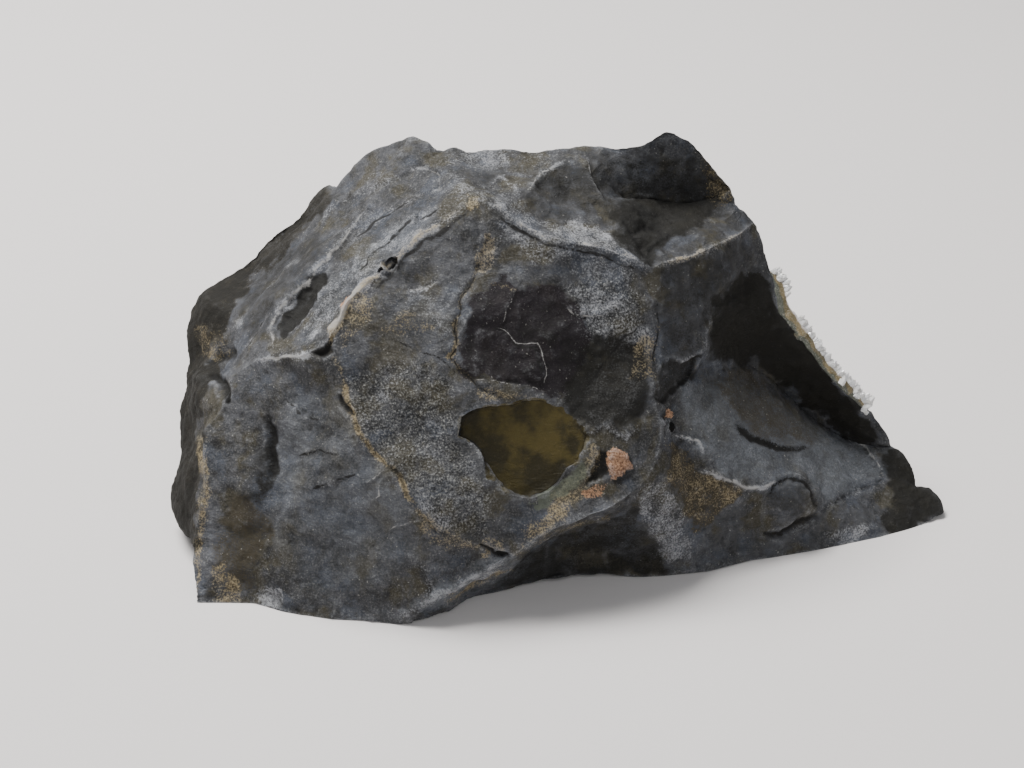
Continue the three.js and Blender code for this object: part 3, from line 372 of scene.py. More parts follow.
def patch_depth(outline):
    """How far each place in flat lies inside the outline, in mm; negative outside."""
    inside = np.zeros(len(flat), bool)
    for (ax, ay), (bx, by) in zip(outline, [*outline[1:], outline[0]]):
        if ay == by:
            continue
        crosses = (flat[:, 1] > ay) != (flat[:, 1] > by)
        inside ^= crosses & (flat[:, 0] < ax + (flat[:, 1] - ay) * (bx - ax) / (by - ay))
    distance = line_distance(outline, closed=True)[0]
    return np.where(inside, distance, -distance)


def smooth_step(values, low, high):
    """From 0 at low to 1 at high, with a soft start and end."""
    share = np.clip((values - low) / (high - low), 0, 1)
    return share * share * (3 - 2 * share)


def grain(places, size, seed):
    """Perlin noise with lumps of that size, about -1 to 1."""
    return np.array([noise.noise(p) for p in (places / size + seed).tolist()])


def ragged(places, size, octaves, seed):
    """Noise with finer and finer lumps on it, about -1 to 1."""
    return np.array([noise.fractal(p, 0.9, 2.1, octaves) for p in (places / size + seed).tolist()])


# the gas bubbles broken open in the front have ragged walls: places, reach and push in mm
bubbles = [(-20.2, 20.3), (-21.6, 18.8), (26.0, -6.8)]
bubble_reach = 1.9
bubble_push = 0.6
for across, up in bubbles:
    near = np.exp(-(np.hypot(flat[:, 0] - across, flat[:, 1] - up) / bubble_reach) ** 2) * seen_share
    push = np.stack([grain(points, 1.3 * MM, 70 + axis) for axis in range(3)], axis=1)
    points = points + near[:, None] * push * bubble_push * MM


def wavering(*layers):
    """Noise over the stone in layers, each as (height, size in mm, seed)."""
    return sum(height * grain(points, size * MM, seed) for height, size, seed in layers)


# lines and outlines waver, and wide stains reach out in tongues
waver = wavering((0.5, 2.2, 3), (0.4, 0.9, 9))
waver_across = wavering((0.5, 3, 17), (0.2, 0.9, 18))
waver_up = wavering((0.5, 3, 27), (0.2, 0.9, 28))
flat = flat + np.stack((waver_across, waver_up), axis=1)
line_fields = {name: line_distance(line) for name, line in lines.items()}
patch_fields = {name: patch_depth(outline) + waver for name, outline in patches.items()}
tongues = wavering((1.6, 4.5, 57), (0.9, 1.7, 58))

# small relief, in mm. Ridges: line, width, height. Steps: line, height on its left, how far it runs.
# Sunk or raised patches: patch, height, width of the edge.
ridges = [
    ("left_crest", 0.6, 0.25), ("right_crest", 0.6, 0.12), ("far_crest", 0.5, 0.2), ("seam", 0.45, -0.4),
    ("seam_crack", 0.35, -0.5), ("branch_a", 0.3, 0.14), ("branch_b", 0.3, 0.14), ("branch_c", 0.3, 0.16),
    ("centre_seam", 0.5, -0.35), ("hairline", 0.25, 0.12), ("plate_edge", 0.5, -0.25),
    ("plate_top", 0.5, 0.25), ("black_fracture", 0.4, -0.35), ("shelf_crest", 0.5, 0.25),
    ("lump_edge", 0.5, -0.4), ("lump_crack", 0.5, -0.8), ("chip_crest", 0.4, 0.2),
    ("lip_crack", 0.45, -0.9), ("cleft", 0.9, -0.9), ("lip", 0.6, 0.3), ("lobe_edge", 0.6, -0.9),
    ("lobe_cavity", 0.9, -0.8), ("wedge_a", 0.5, 0.3), ("rib", 0.7, 0.5), ("side_ridge", 0.6, 0.35),
    ("side_streak", 0.5, -0.25), ("upper_b", 0.5, -0.22), ("notch_lines", 0.4, -0.3),
    ("slab_spine", 0.9, 0.3), ("plate_foot", 0.5, -0.3), ("dark_fold", 0.6, -0.3), ("rib_low", 0.6, 0.3),
    ("lump_line", 0.5, -0.3), ("pit_rim", 0.6, 0.2), ("dark_left", 0.8, 0.3),
]
steps = [
    ("fracture", -0.7, 5), ("upper_a", 0.4, 5), ("upper_c", 0.35, 4), ("upper_d", 0.45, 3.5),
    ("outer_band", -0.5, 5), ("outer_a", -0.35, 5), ("outer_b", -0.3, 3), ("slab_a", -0.3, 4),
    ("slab_b", 0.25, 4), ("slab_c", 0.3, 5), ("toe_step", 0.35, 4), ("top_line", -0.5, 5),
    ("notch_side", 0.3, 3), ("mottle_line", 0.3, 4), ("hairline_up", -0.25, 3), ("lens_edge", 0.35, 4),
    ("right_streak", 0.3, 3), ("plate_base", -0.3, 3), ("dust_line", -0.3, 4),
]
sunk_patches = [
    ("centre_plate", 0.3, 0.35), ("sliver", -0.7, 0.8), ("notch", -1.1, 0.8), ("chip", 0.5, 0.4),
    ("chip_shadow", -0.7, 0.6), ("plate", -0.5, 0.5), ("chip_pale", -0.35, 0.5), ("cream_patch", -0.5, 0.7),
    ("scoop_facet", 0.3, 0.5), ("lobe", 0.5, 0.8), ("cream_crest", 0.3, 0.5),
]

shown = smooth_step(seen_share, 0.15, 0.6)
relief = np.zeros(len(points))
for name, width, height in ridges:
    distance, _, fade = line_fields[name]
    relief += height * fade * np.exp(-((distance / width) ** 2))
for name, height, reach in steps:
    distance, side, fade = line_fields[name]
    signed = distance * side
    height = height * fade
    relief += height * smooth_step(signed, -0.25, 0.35) * np.exp(-np.maximum(signed, 0) / reach)
for name, height, soft in sunk_patches:
    relief += height * smooth_step(patch_fields[name], -soft / 2, soft)
relief *= seen_share


def terraced(size, stretch, octaves, seed, count, start, full):
    """Noise cut into flat steps, that many to a unit; each rises between start and full."""
    levels = ragged(points * np.array((1, 1, stretch)), size, octaves, seed) * count
    return np.floor(levels) + smooth_step(levels - np.floor(levels), start, full)


# the broken grain of the stone, all round: swells, terraces of old fractures and fine grit
in_pit = smooth_step(patch_fields["pit"], -0.2, 0.6) * smooth_step(seen_share, 0.3, 0.8)
soft_shelf = np.maximum(smooth_step(patch_fields["shelf_light"], 0, 2) * seen_share, in_pit)
swell_height, terrace_height, flake_height, grit_height, fine_height = 0.35, 0.32, 0.17, 0.15, 0.045
swell = ragged(points, 9 * MM, 3, 5)
terrace = terraced(13 * MM, 1.6, 4, 11, 4, 0.32, 0.68)
flake = terraced(5 * MM, 1.4, 3, 14, 3, 0.4, 0.62)
grit = ragged(points, 2.6 * MM, 5, 21)
fine = ragged(points, 0.9 * MM, 2, 31)
granular = sum(smooth_step(patch_fields[name], -1, 1) for name in ("grain_left", "centre_mottle"))
rough = (terrace_height * terrace + flake_height * flake) * (1 - 0.85 * soft_shelf) * (1 - 0.6 * shown)
relief += (swell_height * swell * (1 - 0.45 * shown) + rough) * (1 - 0.85 * in_pit)
relief += (grit_height * grit + fine_height * fine * (1 + granular)) * (1 - 0.6 * soft_shelf)

# the stone is smooth and a little lower along the rim, where the layer shows past it
rim_drop = 0.15
near_rim = (1 - smooth_step(line_fields["rim"][0], 0.8, 3)) * shown
relief = relief * (1 - near_rim) - rim_drop * near_rim

mesh = bpy.data.meshes.new("basalt_rough")
rock.to_mesh(mesh)
rock.free()
mesh.vertices.foreach_set("co", points.astype(np.float32).ravel())
mesh.update()
normals = np.empty(len(points) * 3, np.float32)
mesh.vertex_normals.foreach_get("vector", normals)
normals = normals.reshape(-1, 3)
foot_band = 0.4 * MM
lift = np.where(points[:, 2] < foot_band, 0, relief * MM)
shaped = points + normals * lift[:, None]
box_low, box_high = np.array(cad_box[0]), np.array(cad_box[1])
shaped = np.clip(shaped, box_low, box_high)
mesh.vertices.foreach_set("co", shaped.astype(np.float32).ravel())
mesh.update()

# how far each place stands out from its surroundings, near and wide: edges wear, and hollows are darkened
# with painted shade
points = shaped
around = shaped
humps = []
for rounds in (3, 14):
    for _ in range(rounds):
        around = neighbour_mean(around)[0]
    humps.append(np.einsum("ij,ij->i", shaped - around, normals) / MM)
hump, wide_hump = humps
edge_wear = np.maximum(smooth_step(hump, 0.03, 0.2), 0.6 * smooth_step(wide_hump, 0.15, 0.8))
hollow_shade = np.maximum(smooth_step(-hump, 0.02, 0.16), 0.85 * smooth_step(-wide_hump, 0.1, 0.7))
hollow_shade *= 0.45 + 0.55 * shown

# stains, dust and films, some of them painted shade and painted light: (line, strength, width) and (patch,
# strength, width of its edge), in mm
mark_lines = {
    "pale": [("left_crest", 0.7, 1.0), ("right_crest", 0.62, 0.6), ("far_crest", 0.5, 0.5),
        ("ledge", 0.8, 0.6), ("fracture", 0.4, 0.5), ("dust_line", 0.5, 0.8), ("mottle_line", 0.6, 0.6),
        ("shelf_crest", 0.7, 0.4), ("lump_line", 0.5, 0.5), ("chip_crest", 0.65, 0.35),
        ("lens_edge", 0.6, 0.3), ("side_ridge", 0.55, 0.7), ("wedge_a", 0.5, 0.5), ("rib", 0.55, 0.5),
        ("upper_a", 0.35, 0.5), ("upper_b", 0.4, 0.5), ("upper_c", 0.45, 0.9), ("upper_d", 0.5, 0.6),
        ("outer_a", 0.5, 0.6), ("outer_b", 0.5, 0.6), ("slab_a", 0.4, 0.4), ("slab_b", 0.4, 0.4),
        ("slab_c", 0.45, 0.5), ("pit_rim", 0.4, 0.5), ("right_streak", 0.6, 0.6), ("top_line", 0.5, 0.35),
        ("notch_side", 0.3, 0.5), ("toe_step", 0.6, 0.5), ("plate_top", 0.3, 0.4),
        ("notch_lines", 0.7, 0.35)],
    "ochre": [("seam", 1.25, 0.6), ("left_crest", 0.9, 0.5), ("centre_seam", 1.0, 0.45),
        ("far_crest", 0.8, 0.35), ("right_crest", 0.45, 0.3), ("left_strip", 0.8, 0.8),
        ("side_streak", 0.7, 0.7), ("lip", 0.45, 0.6), ("plate_foot", 0.3, 0.4), ("brown_line", 0.6, 0.3),
        ("lump_crack", 0.6, 0.35), ("ledge", 0.35, 0.25), ("plate_edge", 0.4, 0.5)],
    # the dark lines: painted shade under the crests, in the clefts, cracks and folds and round the pit's
    # rim, with the stone's own dark seams
    "dark_and_shade": [("pit_rim", 0.7, 0.9), ("right_shadow", 0.3, 0.8), ("left_shadow", 0.5, 0.9),
        ("hair_shadow", 0.4, 0.5), ("seam_crack", 1.0, 0.45), ("black_fracture", 0.8, 0.7),
        ("lip_crack", 1.0, 0.5), ("cleft", 0.7, 1.0), ("lobe_edge", 0.9, 0.6), ("lobe_cavity", 1.0, 0.9),
        ("lump_edge", 0.4, 0.5), ("lump_crack", 0.5, 0.7), ("plate_foot", 0.7, 0.5),
        ("notch_side", 0.5, 0.6), ("pocket_fold", 0.4, 1.0)],
}
mark_patches = {
    "pale": [("top_dust", 0.16, 2.5), ("top_bright", 0.35, 1), ("band_dust", 0.42, 0.8),
        ("peak_dust", 0.36, 1.2), ("cluster_white", 0.32, 1.2), ("chip_pale", 0.5, 0.5),
        ("upper_light", 0.06, 3), ("upper_blue", 0.3, 2), ("grain_left", 0.12, 1.5),
        ("grain_upper", 0.2, 2), ("centre_mottle", 0.3, 2.5), ("under_crest", 0.3, 1.5),
        ("chips_light", 0.3, 1.2), ("shelf_light", 0.05, 2), ("tip_spots", 0.4, 1),
        ("cream_patch", 0.3, 0.5)],
    "ochre": [("crest_gold", 0.45, 1), ("cream_crest", 0.9, 0.5), ("corner_ochre", 0.5, 0.8),
        ("seam_cluster", 0.5, 1.2), ("pit_stain", 0.5, 1), ("pit_top", 0.5, 0.8), ("gold_left", 0.45, 1.5),
        ("lobe_gold", 0.4, 1.2), ("scoop_gold", 0.35, 2), ("gold_specks", 0.45, 1.2),
        ("peak_brown", 0.7, 0.4), ("cream_patch", 0.5, 0.6), ("brown_patch", 0.4, 1.5)],
    "brown": [("brown_lobes", 0.95, 1.5), ("outer_band", 0.7, 1.2), ("slab_brown", 0.6, 2),
        ("brown_patch", 0.75, 0.8), ("pocket_shade", 0.55, 2), ("shelf_warm", 0.55, 4), ("lobe", 0.3, 0.8),
        ("gold_left", 0.4, 1.5), ("scoop_gold", 0.6, 1.5)],
    "olive": [("pit", 1.0, 0.25)],
    "salmon": [("chip", 1.0, 0.3), ("chip_low", 0.7, 0.5), ("salmon_crest", 0.8, 0.4),
        ("salmon_spot", 0.9, 0.4)],
    "violet": [("violet", 1.0, 1.2), ("violet_warm", 1.0, 1.5)],
    # the dark patches: painted shade in the pocket, the scoop, the notches and clefts, under the lip and on
    # facets turned from the light, with the stone's own dark brown lobes and violet patch
    "dark_and_shade": [("sliver", 1.0, 0.6), ("notch", 1.0, 0.4), ("chip_shadow", 0.9, 0.3), ("plate", 0.6, 0.5),
        ("scoop_shade", 0.55, 2), ("scoop_low", 1.15, 2), ("pocket_shade", 1.3, 1.8),
        ("under_lip", 0.65, 1.5), ("tip_dark", 1.0, 1.5), ("cleft_shade", 0.65, 1.2),
        ("centre_low", 1.0, 2.5), ("violet", 0.3, 1.5), ("violet_warm", 0.4, 2), ("outer_facet", 0.5, 3),
        ("top_shadow", 0.5, 2), ("top_notch", 0.45, 1.5), ("far_ledge", 0.3, 1), ("lump", 0.4, 1.2),
        ("front_right", 0.2, 2), ("dark_facet", 0.42, 1.5), ("brown_lobes", 0.9, 1.5),
        ("outer_band", 0.7, 1.5), ("pit_low", 0.5, 3)],
    "green": [("green", 0.8, 0.8)],
    # the film: a pale coating, partly painted light on faces turned up to the window
    "film_and_light": [("shelf_light", 1.0, 2.5), ("upper_blue", 0.7, 3), ("slab_film", 0.5, 3),
        ("side_light", 1.0, 1), ("grain_upper", 0.3, 2)],
}

hard_edge = 0.5
widest_tongue = 1.5
line_break = wavering((1, 1.4, 81), (0.6, 4, 83))
surface_marks = {}
for mark_name, members in mark_patches.items():
    amount = np.zeros(len(points))
    for name, strength, width in mark_lines.get(mark_name, ()):
        distance = np.abs(line_fields[name][0] + 0.35 * waver)
        fade = line_fields[name][2]
        broken = 0.75 + 0.6 * line_break
        amount = np.maximum(amount, strength * fade * broken * np.exp(-((distance / width) ** 2)))
    for name, strength, soft in members:
        hard = soft < hard_edge
        inside = patch_fields[name] + (0.0 if hard else min(soft, widest_tongue) * 0.7 * tongues)
        patchy = strength * (1 + (0.0 if hard else 0.35) * line_break)
        amount = np.maximum(amount, patchy * smooth_step(inside, -soft / 2, soft / 2))
    surface_marks[mark_name] = amount * shown

# thin light veins, and dark cracks with painted shadow lines under the crests and in the clefts, kept as
# the distance over the line's half width: (line, mm)
thin_lines = {
    "vein": [("cream_line", 0.34), ("hairline_up", 0.09), ("branch_a", 0.1), ("branch_b", 0.1),
        ("branch_c", 0.1), ("fracture", 0.11), ("plate_base", 0.09), ("notch_lines", 0.08),
        ("lens_edge", 0.09), ("dust_line", 0.1), ("top_line", 0.09), ("chip_crest", 0.14),
        ("mottle_line", 0.1), ("shelf_crest", 0.15), ("ledge", 0.14), ("rib", 0.09)],
    "crack_and_shadow": [("seam_crack", 0.26), ("black_fracture", 0.36), ("lip_crack", 0.35), ("lump_crack", 0.26),
        ("hair_shadow", 0.2), ("plate_foot", 0.32), ("right_shadow", 0.17), ("left_shadow", 0.3),
        ("dark_fold", 0.25), ("plate_edge", 0.1), ("lobe_edge", 0.4), ("notch_side", 0.24),
        ("lump_edge", 0.2), ("slab_a", 0.14), ("slab_b", 0.14), ("slab_c", 0.16), ("upper_b", 0.1),
        ("upper_c", 0.08), ("outer_b", 0.1), ("toe_step", 0.13), ("centre_seam", 0.13), ("cleft", 0.4),
        ("cross_a", 0.14), ("cross_b", 0.13)],
}
far_off = 8.0
hair_reach = 3
for kind, members in thin_lines.items():
    reach = np.full(len(points), far_off)
    for name, width in members:
        distance, _, fade = line_fields[name]
        reach = np.minimum(reach, distance / width + 1.5 * (1 - fade))
    reach += 0.9 * np.maximum(line_break, -0.2)
    surface_marks[kind] = reach + far_off * (1 - shown)

# the pale hairline keeps its distance with a sign, in mm, so that it stays whole between vertices
distance, side, fade = line_fields["hairline"]
surface_marks["hair"] = distance * side
surface_marks["hair_on"] = smooth_step(fade, 0.05, 0.4) * (distance < 2) * shown
surface_marks["grainy"] = 0.35 + 0.65 * np.clip(granular, 0, 1) * shown
surface_marks["wear"] = edge_wear
surface_marks["painted_hollow_shade"] = hollow_shade

# the sides that don't show from the front carry the same old stains, in broad drifts: size of the
# drifts in mm, octaves, seed, where a drift starts and is full, strength
for mark_name, size, octaves, seed, start, full, strength in (
    ("brown", 16, 3, 41, 0.1, 0.5, 0.8), ("pale", 11, 4, 51, 0.2, 0.7, 0.45),
    ("ochre", 7, 3, 61, 0.45, 0.7, 0.5),
):
    drifts = smooth_step(ragged(points, size * MM, octaves, seed), start, full)
    surface_marks[mark_name] += (1 - shown) * drifts * strength

limits = {"vein": (0, far_off), "crack_and_shadow": (0, far_off), "hair": (-hair_reach, hair_reach)}
for name, amount in surface_marks.items():
    held = mesh.attributes.new(name, "FLOAT", "POINT")
    amount = np.clip(amount, *limits.get(name, (0, 1.3)))
    held.data.foreach_set("value", amount.astype(np.float32))
mesh.polygons.foreach_set("use_smooth", np.ones(len(mesh.polygons), bool))


class Nodes:
    """Shader nodes laid one after another in a material or a node group."""

    def __init__(self, tree, places):
        self.tree = tree
        self.places = places

    def node(self, kind, inputs=(), **settings):
        made = self.tree.nodes.new(kind)
        for key, value in settings.items():
            setattr(made, key, value)
        for key, value in dict(inputs).items():
            self.feed(made.inputs[key], value)
        return made

    def feed(self, socket, value):
        """Links an output to the socket, or sets a value on it. A colour is three numbers."""
        if isinstance(value, bpy.types.NodeSocket):
            self.tree.links.new(value, socket)
        else:
            socket.default_value = (*value, 1.0) if socket.type == "RGBA" else value

    def lumps(self, size, detail, rough=0.55, warp=0.0, stretch=(1, 1, 1), turn=(0, 0, 0)):
        """Noise from 0 to 1, with lumps of that size in metres."""
        places = self.places
        if stretch != (1, 1, 1):
            places = self.node("ShaderNodeMapping", {"Vector": places, "Scale": stretch, "Rotation": turn})
            places = places.outputs["Vector"]
        made = self.node("ShaderNodeTexNoise", {"Vector": places, "Scale": 1 / size, "Detail": detail,
                                                "Roughness": rough, "Distortion": warp})
        return made.outputs["Fac"]

    def math(self, operation, a, b=0.0):
        return self.node("ShaderNodeMath", {0: a, 1: b}, operation=operation).outputs[0]

    def times(self, a, b):
        return self.math("MULTIPLY", a, b)

    def plus(self, a, b):
        return self.math("ADD", a, b)

    def minus(self, a, b):
        return self.math("SUBTRACT", a, b)

    def ramp(self, value, low, high, to_low=0.0, to_high=1.0):
        """The value, brought smoothly from low and high to the other two."""
        made = self.node("ShaderNodeMapRange", {"Value": value, "From Min": low, "From Max": high,
                                                "To Min": to_low, "To Max": to_high},
                         interpolation_type="SMOOTHSTEP")
        return made.outputs["Result"]

    def mix(self, share, a, b):
        """Colour a, with that share of colour b."""
        made = self.node("ShaderNodeMix", data_type="RGBA")
        for socket, value in zip((made.inputs[0], made.inputs[6], made.inputs[7]), (share, a, b)):
            self.feed(socket, value)
        return made.outputs[2]

    def layered(self, under, *layers):
        """Colour under, with each (share, colour) laid over it in turn."""
        for share, tint in layers:
            under = self.mix(share, under, tint)
        return under

    def mask(self, name):
        return self.node("ShaderNodeAttribute", attribute_name=name).outputs["Fac"]

    def bump(self, height, distance, strength, under=None):
        inputs = {"Height": height, "Distance": distance, "Strength": strength}
        if under is not None:
            inputs["Normal"] = under
        return self.node("ShaderNodeBump", inputs).outputs["Normal"]


class Finish(Nodes):
    """A material, with its shader and the places that its patterns read."""

    def __init__(self, name):
        self.material = bpy.data.materials.new(name)
        self.material.use_nodes = True
        tree = self.material.node_tree
        self.shader = tree.nodes["Principled BSDF"]
        super().__init__(tree, tree.nodes.new("ShaderNodeTexCoord").outputs["Object"])

    def grain(self, size):
        """The mineral grain, at that size times the fine basalt's."""
        made = self.node("ShaderNodeGroup", node_tree=grain_tree)
        self.feed(made.inputs["Places"], self.places)
        self.feed(made.inputs["Size"], size)
        return made.outputs

    def surface(self, values):
        """Feeds the shader's own sockets."""
        for name, value in values.items():
            self.feed(self.shader.inputs[name], value)


# mineral grain: drifts of tone, fine wrinkles and crystal grit, shared by the stone and its lining
grain_tree = bpy.data.node_groups.new("mineral_grain", "ShaderNodeTree")
grain_tree.interface.new_socket("Places", in_out="INPUT", socket_type="NodeSocketVector")
grain_tree.interface.new_socket("Size", in_out="INPUT", socket_type="NodeSocketFloat")
for name in ("Cloud", "Wrinkle", "Grit", "Breakup"):
    grain_tree.interface.new_socket(name, in_out="OUTPUT", socket_type="NodeSocketFloat")
grain_in = grain_tree.nodes.new("NodeGroupInput")
grain_out = grain_tree.nodes.new("NodeGroupOutput")
grains = Nodes(grain_tree, grain_in.outputs["Places"])
shrink = grains.math("DIVIDE", 1.0, grain_in.outputs["Size"])
scaled = grains.node("ShaderNodeVectorMath", {"Scale": shrink, 0: grains.places}, operation="SCALE")
grains.places = scaled.outputs["Vector"]
cloud = grains.lumps(3.6 * MM, 6, 0.55, 0.25)
fold = grains.lumps(2.6 * MM, 6, 0.62, 0.5, stretch=(0.8, 1, 1.7), turn=(0.2, 0.5, 0))
wrinkle = grains.ramp(grains.math("ABSOLUTE", grains.minus(fold, 0.5)), 0.0, 0.12)
grit = grains.lumps(0.3 * MM, 4, 0.7)
breakup = grains.plus(grains.times(cloud, 0.5), grains.times(grit, 0.9))
for name, value in (("Cloud", cloud), ("Wrinkle", wrinkle), ("Grit", grit), ("Breakup", breakup)):
    grains.feed(grain_out.inputs[name], value)

basalt = Finish("basalt_weathered")
grain_parts = basalt.grain(1.0)
cloud, wrinkle, grit, breakup = (grain_parts[name] for name in ("Cloud", "Wrinkle", "Grit", "Breakup"))
broad = basalt.lumps(14 * MM, 4)
drift = basalt.lumps(6.5 * MM, 5, 0.6, 0.3)
fibre = basalt.lumps(1.5 * MM, 5, 0.6, 0.4, stretch=(1, 0.6, 0.28), turn=(0, 0.6, 0.3))
speck = basalt.lumps(0.16 * MM, 2, 0.6)
tone = basalt.plus(basalt.times(broad, 0.45), basalt.times(cloud, 0.55))
film_and_light, dark_and_shade, grainy, olive, violet = (
    basalt.mask(name) for name in ("film_and_light", "dark_and_shade", "grainy", "olive", "violet"))
# where the dark layer and its painted shade are thin: dust, wear and specks stay out of the dark
outside_dark = basalt.ramp(dark_and_shade, 0.1, 0.9, 1, 0.15)
# the pale film is partly the stone's coating and partly painted light, laid on the shelf, the upper facets
# and the side that face up
film_and_light_share = basalt.times(film_and_light, basalt.ramp(tone, 0.36, 0.62, 0.35, 0.95))

# fresh stone: grey drifts, earthy and bluish ones, the pale film with painted light on the faces turned up,
# fibres, grains and dark wrinkles
stone = basalt.layered(
    (0.027, 0.027, 0.028),
    (basalt.ramp(tone, 0.38, 0.64), (0.078, 0.08, 0.088)),
    (basalt.ramp(drift, 0.5, 0.62, 0, 0.72), (0.055, 0.047, 0.027)),
    (basalt.ramp(drift, 0.48, 0.36, 0, 0.5), (0.069, 0.08, 0.106)),
    (film_and_light_share, (0.122, 0.131, 0.147)),
    (basalt.ramp(fibre, 0.5, 0.75, 0, 0.45), (0.125, 0.128, 0.14)),
    (basalt.times(grainy, basalt.ramp(grit, 0.5, 0.64, 0, 0.95)), (0.18, 0.18, 0.17)),
    (basalt.times(grainy, basalt.ramp(grit, 0.48, 0.36, 0, 0.95)), (0.012, 0.012, 0.0115)),
    (basalt.ramp(wrinkle, 1.0, 0.0, 0, 0.26), (0.016, 0.0155, 0.015)),
)
uneven = basalt.minus(breakup, 0.7)


def laid_tint(under, name, tint, low, high, most):
    """A tint laid over the colour, its edge broken up by the grain of the stone: the stains, and the
    painted shade of the dark layer.
    """
    amount = basalt.plus(basalt.mask(name), basalt.times(uneven, 2.2))
    share = basalt.ramp(amount, low, high, 0, most)
    share = basalt.times(share, basalt.ramp(basalt.mask(name), 0, 0.15))
    return basalt.mix(share, under, tint)


def dusted(under, name, tint, gain, most):
    """Dust that lies in specks where it is thin, and closes where it is thick."""
    thickness = basalt.plus(breakup, basalt.times(basalt.mask(name), gain))
    share = basalt.times(basalt.ramp(thickness, 0.8, 1.16, 0, most), outside_dark)
    return basalt.mix(share, under, tint)


stone = laid_tint(stone, "violet", (0.0105, 0.0072, 0.0095), 0.1, 0.6, 0.9)
flecks = basalt.times(violet, basalt.ramp(grit, 0.54, 0.66, 0, 0.75))
stone = basalt.mix(flecks, stone, (0.07, 0.062, 0.068))
stone = laid_tint(stone, "brown", (0.034, 0.027, 0.015), 0.2, 0.75, 0.85)
# painted shade in the recesses and on facets turned from the light, with the stone's own dark patches
stone = laid_tint(stone, "dark_and_shade", (0.0075, 0.0068, 0.0052), 0.1, 0.9, 0.94)
stone = dusted(stone, "pale", (0.34, 0.345, 0.36), 0.58, 0.85)
rust = basalt.mix(basalt.ramp(grit, 0.38, 0.6), (0.11, 0.08, 0.038), (0.28, 0.228, 0.138))
chip = basalt.mix(basalt.ramp(grit, 0.36, 0.62), (0.15, 0.068, 0.035), (0.42, 0.25, 0.15))
for name, tint, start, full, most in (
    ("ochre", rust, 0.25, 0.9, 0.85),
    ("green", (0.085, 0.095, 0.07), 0.2, 0.7, 0.75),
    ("salmon", chip, 0.35, 0.8, 0.92),
):
    stone = laid_tint(stone, name, tint, start, full, most)

# thin veins, and cracks with painted shadow lines, whose edges the grain wears ragged, and the pale
# hairline
thin_edge = basalt.times(uneven, 4.0)
vein_share = basalt.ramp(basalt.plus(basalt.mask("vein"), thin_edge), 1.6, 0.5, 0, 0.62)
crack_and_shadow_share = basalt.ramp(basalt.minus(basalt.mask("crack_and_shadow"), thin_edge), 1.7, 0.7, 0, 0.92)
hair = basalt.plus(basalt.math("ABSOLUTE", basalt.mask("hair")), basalt.times(thin_edge, 0.11))
hair_share = basalt.times(basalt.ramp(hair, 0.1, 0.0, 0, 0.6), basalt.mask("hair_on"))
sparkle = basalt.ramp(basalt.lumps(0.45 * MM, 1), 0.72, 0.78, 0, 0.5)

# the floor of the pit is waxy and olive brown, darkened by painted shade towards its rim
waxy_tone = basalt.plus(basalt.times(drift, 0.5), basalt.times(cloud, 0.5))
waxy = basalt.layered(
    (0.02, 0.0155, 0.004),
    (basalt.ramp(waxy_tone, 0.42, 0.58), (0.062, 0.047, 0.011)),
    (basalt.ramp(grit, 0.55, 0.75, 0, 0.2), (0.16, 0.13, 0.06)),
    (basalt.ramp(dark_and_shade, 0, 0.8, 0, 0.7), (0.018, 0.015, 0.006)),
)
worn = basalt.times(basalt.times(basalt.mask("wear"), basalt.ramp(grit, 0.38, 0.62, 0.1, 0.5)), outside_dark)
stone = basalt.layered(
    stone,
    (vein_share, (0.36, 0.35, 0.335)),
    (crack_and_shadow_share, (0.007, 0.0065, 0.006)),
    (hair_share, (0.4, 0.39, 0.375)),
    (basalt.times(sparkle, outside_dark), (0.34, 0.33, 0.3)),
    (basalt.ramp(olive, 0.3, 0.6), waxy),
    (worn, (0.22, 0.225, 0.235)),
    # painted shade in the hollows
    (basalt.times(basalt.mask("painted_hollow_shade"), 0.6), (0.01, 0.0095, 0.009)),
)
calm = basalt.ramp(film_and_light, 0, 0.8, 1, 0.4)
normal = None
for height, depth, strength in (
    (basalt.times(cloud, calm), 0.4, 0.4), (wrinkle, 0.1, 0.5), (fibre, 0.18, 0.5),
    (grit, 0.13, 0.8), (speck, 0.03, 0.6),
):
    normal = basalt.bump(height, depth * MM, strength, normal)
basalt.surface({"Base Color": stone, "Roughness": basalt.ramp(olive, 0.3, 0.6, 0.78, 0.5),
                "Specular IOR Level": 0.22, "Normal": normal})


def add_piece(name, piece_mesh, material, slot, *nodes):
    """Puts a finished mesh in the scene as a piece that rides on the stone."""
    piece = bpy.data.objects.new(name, piece_mesh)
    bpy.context.scene.collection.objects.link(piece)
    piece_mesh.materials.append(material)
    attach(piece, "root")
    if nodes:
        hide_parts(*nodes)


add_piece("basalt_rough", mesh, basalt.material, "basalt", "basalt_matrix")

# ---- chalcedony layer --------------------------------------------------------------------------
# The first lining of the gas hollow: about 2 mm of chalcedony grown on the basalt, ochre and olive
# where it touches the stone and milky towards the crystals. It is the crust's solid with its
# large crystals pressed flat, so that the fine crystals can stand on it.

layer_depth = 2.2 * MM
layer_voxel = 0.45 * MM
root_gap = 0.6 * MM
sink_share = 0.6
ripple_mm = 0.16
ripple_size = 1.3 * MM
for v in crust.verts:
    near, _, _, distance = rock_tree.find_nearest(v.co)
    if distance > layer_depth:
        v.co = near + (v.co - near) * (layer_depth / distance)
layer_mesh = bpy.data.meshes.new("chalcedony_layer")
crust.to_mesh(layer_mesh)
crust.free()
layer_form = bpy.data.objects.new("layer_form", layer_mesh)
bpy.context.scene.collection.objects.link(layer_form)
remesh = layer_form.modifiers.new("even", "REMESH")
remesh.mode = "VOXEL"
remesh.voxel_size = layer_voxel
evaluated = layer_form.evaluated_get(bpy.context.evaluated_depsgraph_get())
layer_mesh = bpy.data.meshes.new_from_object(evaluated)
layer_mesh.name = "chalcedony_layer"
bpy.data.objects.remove(layer_form)

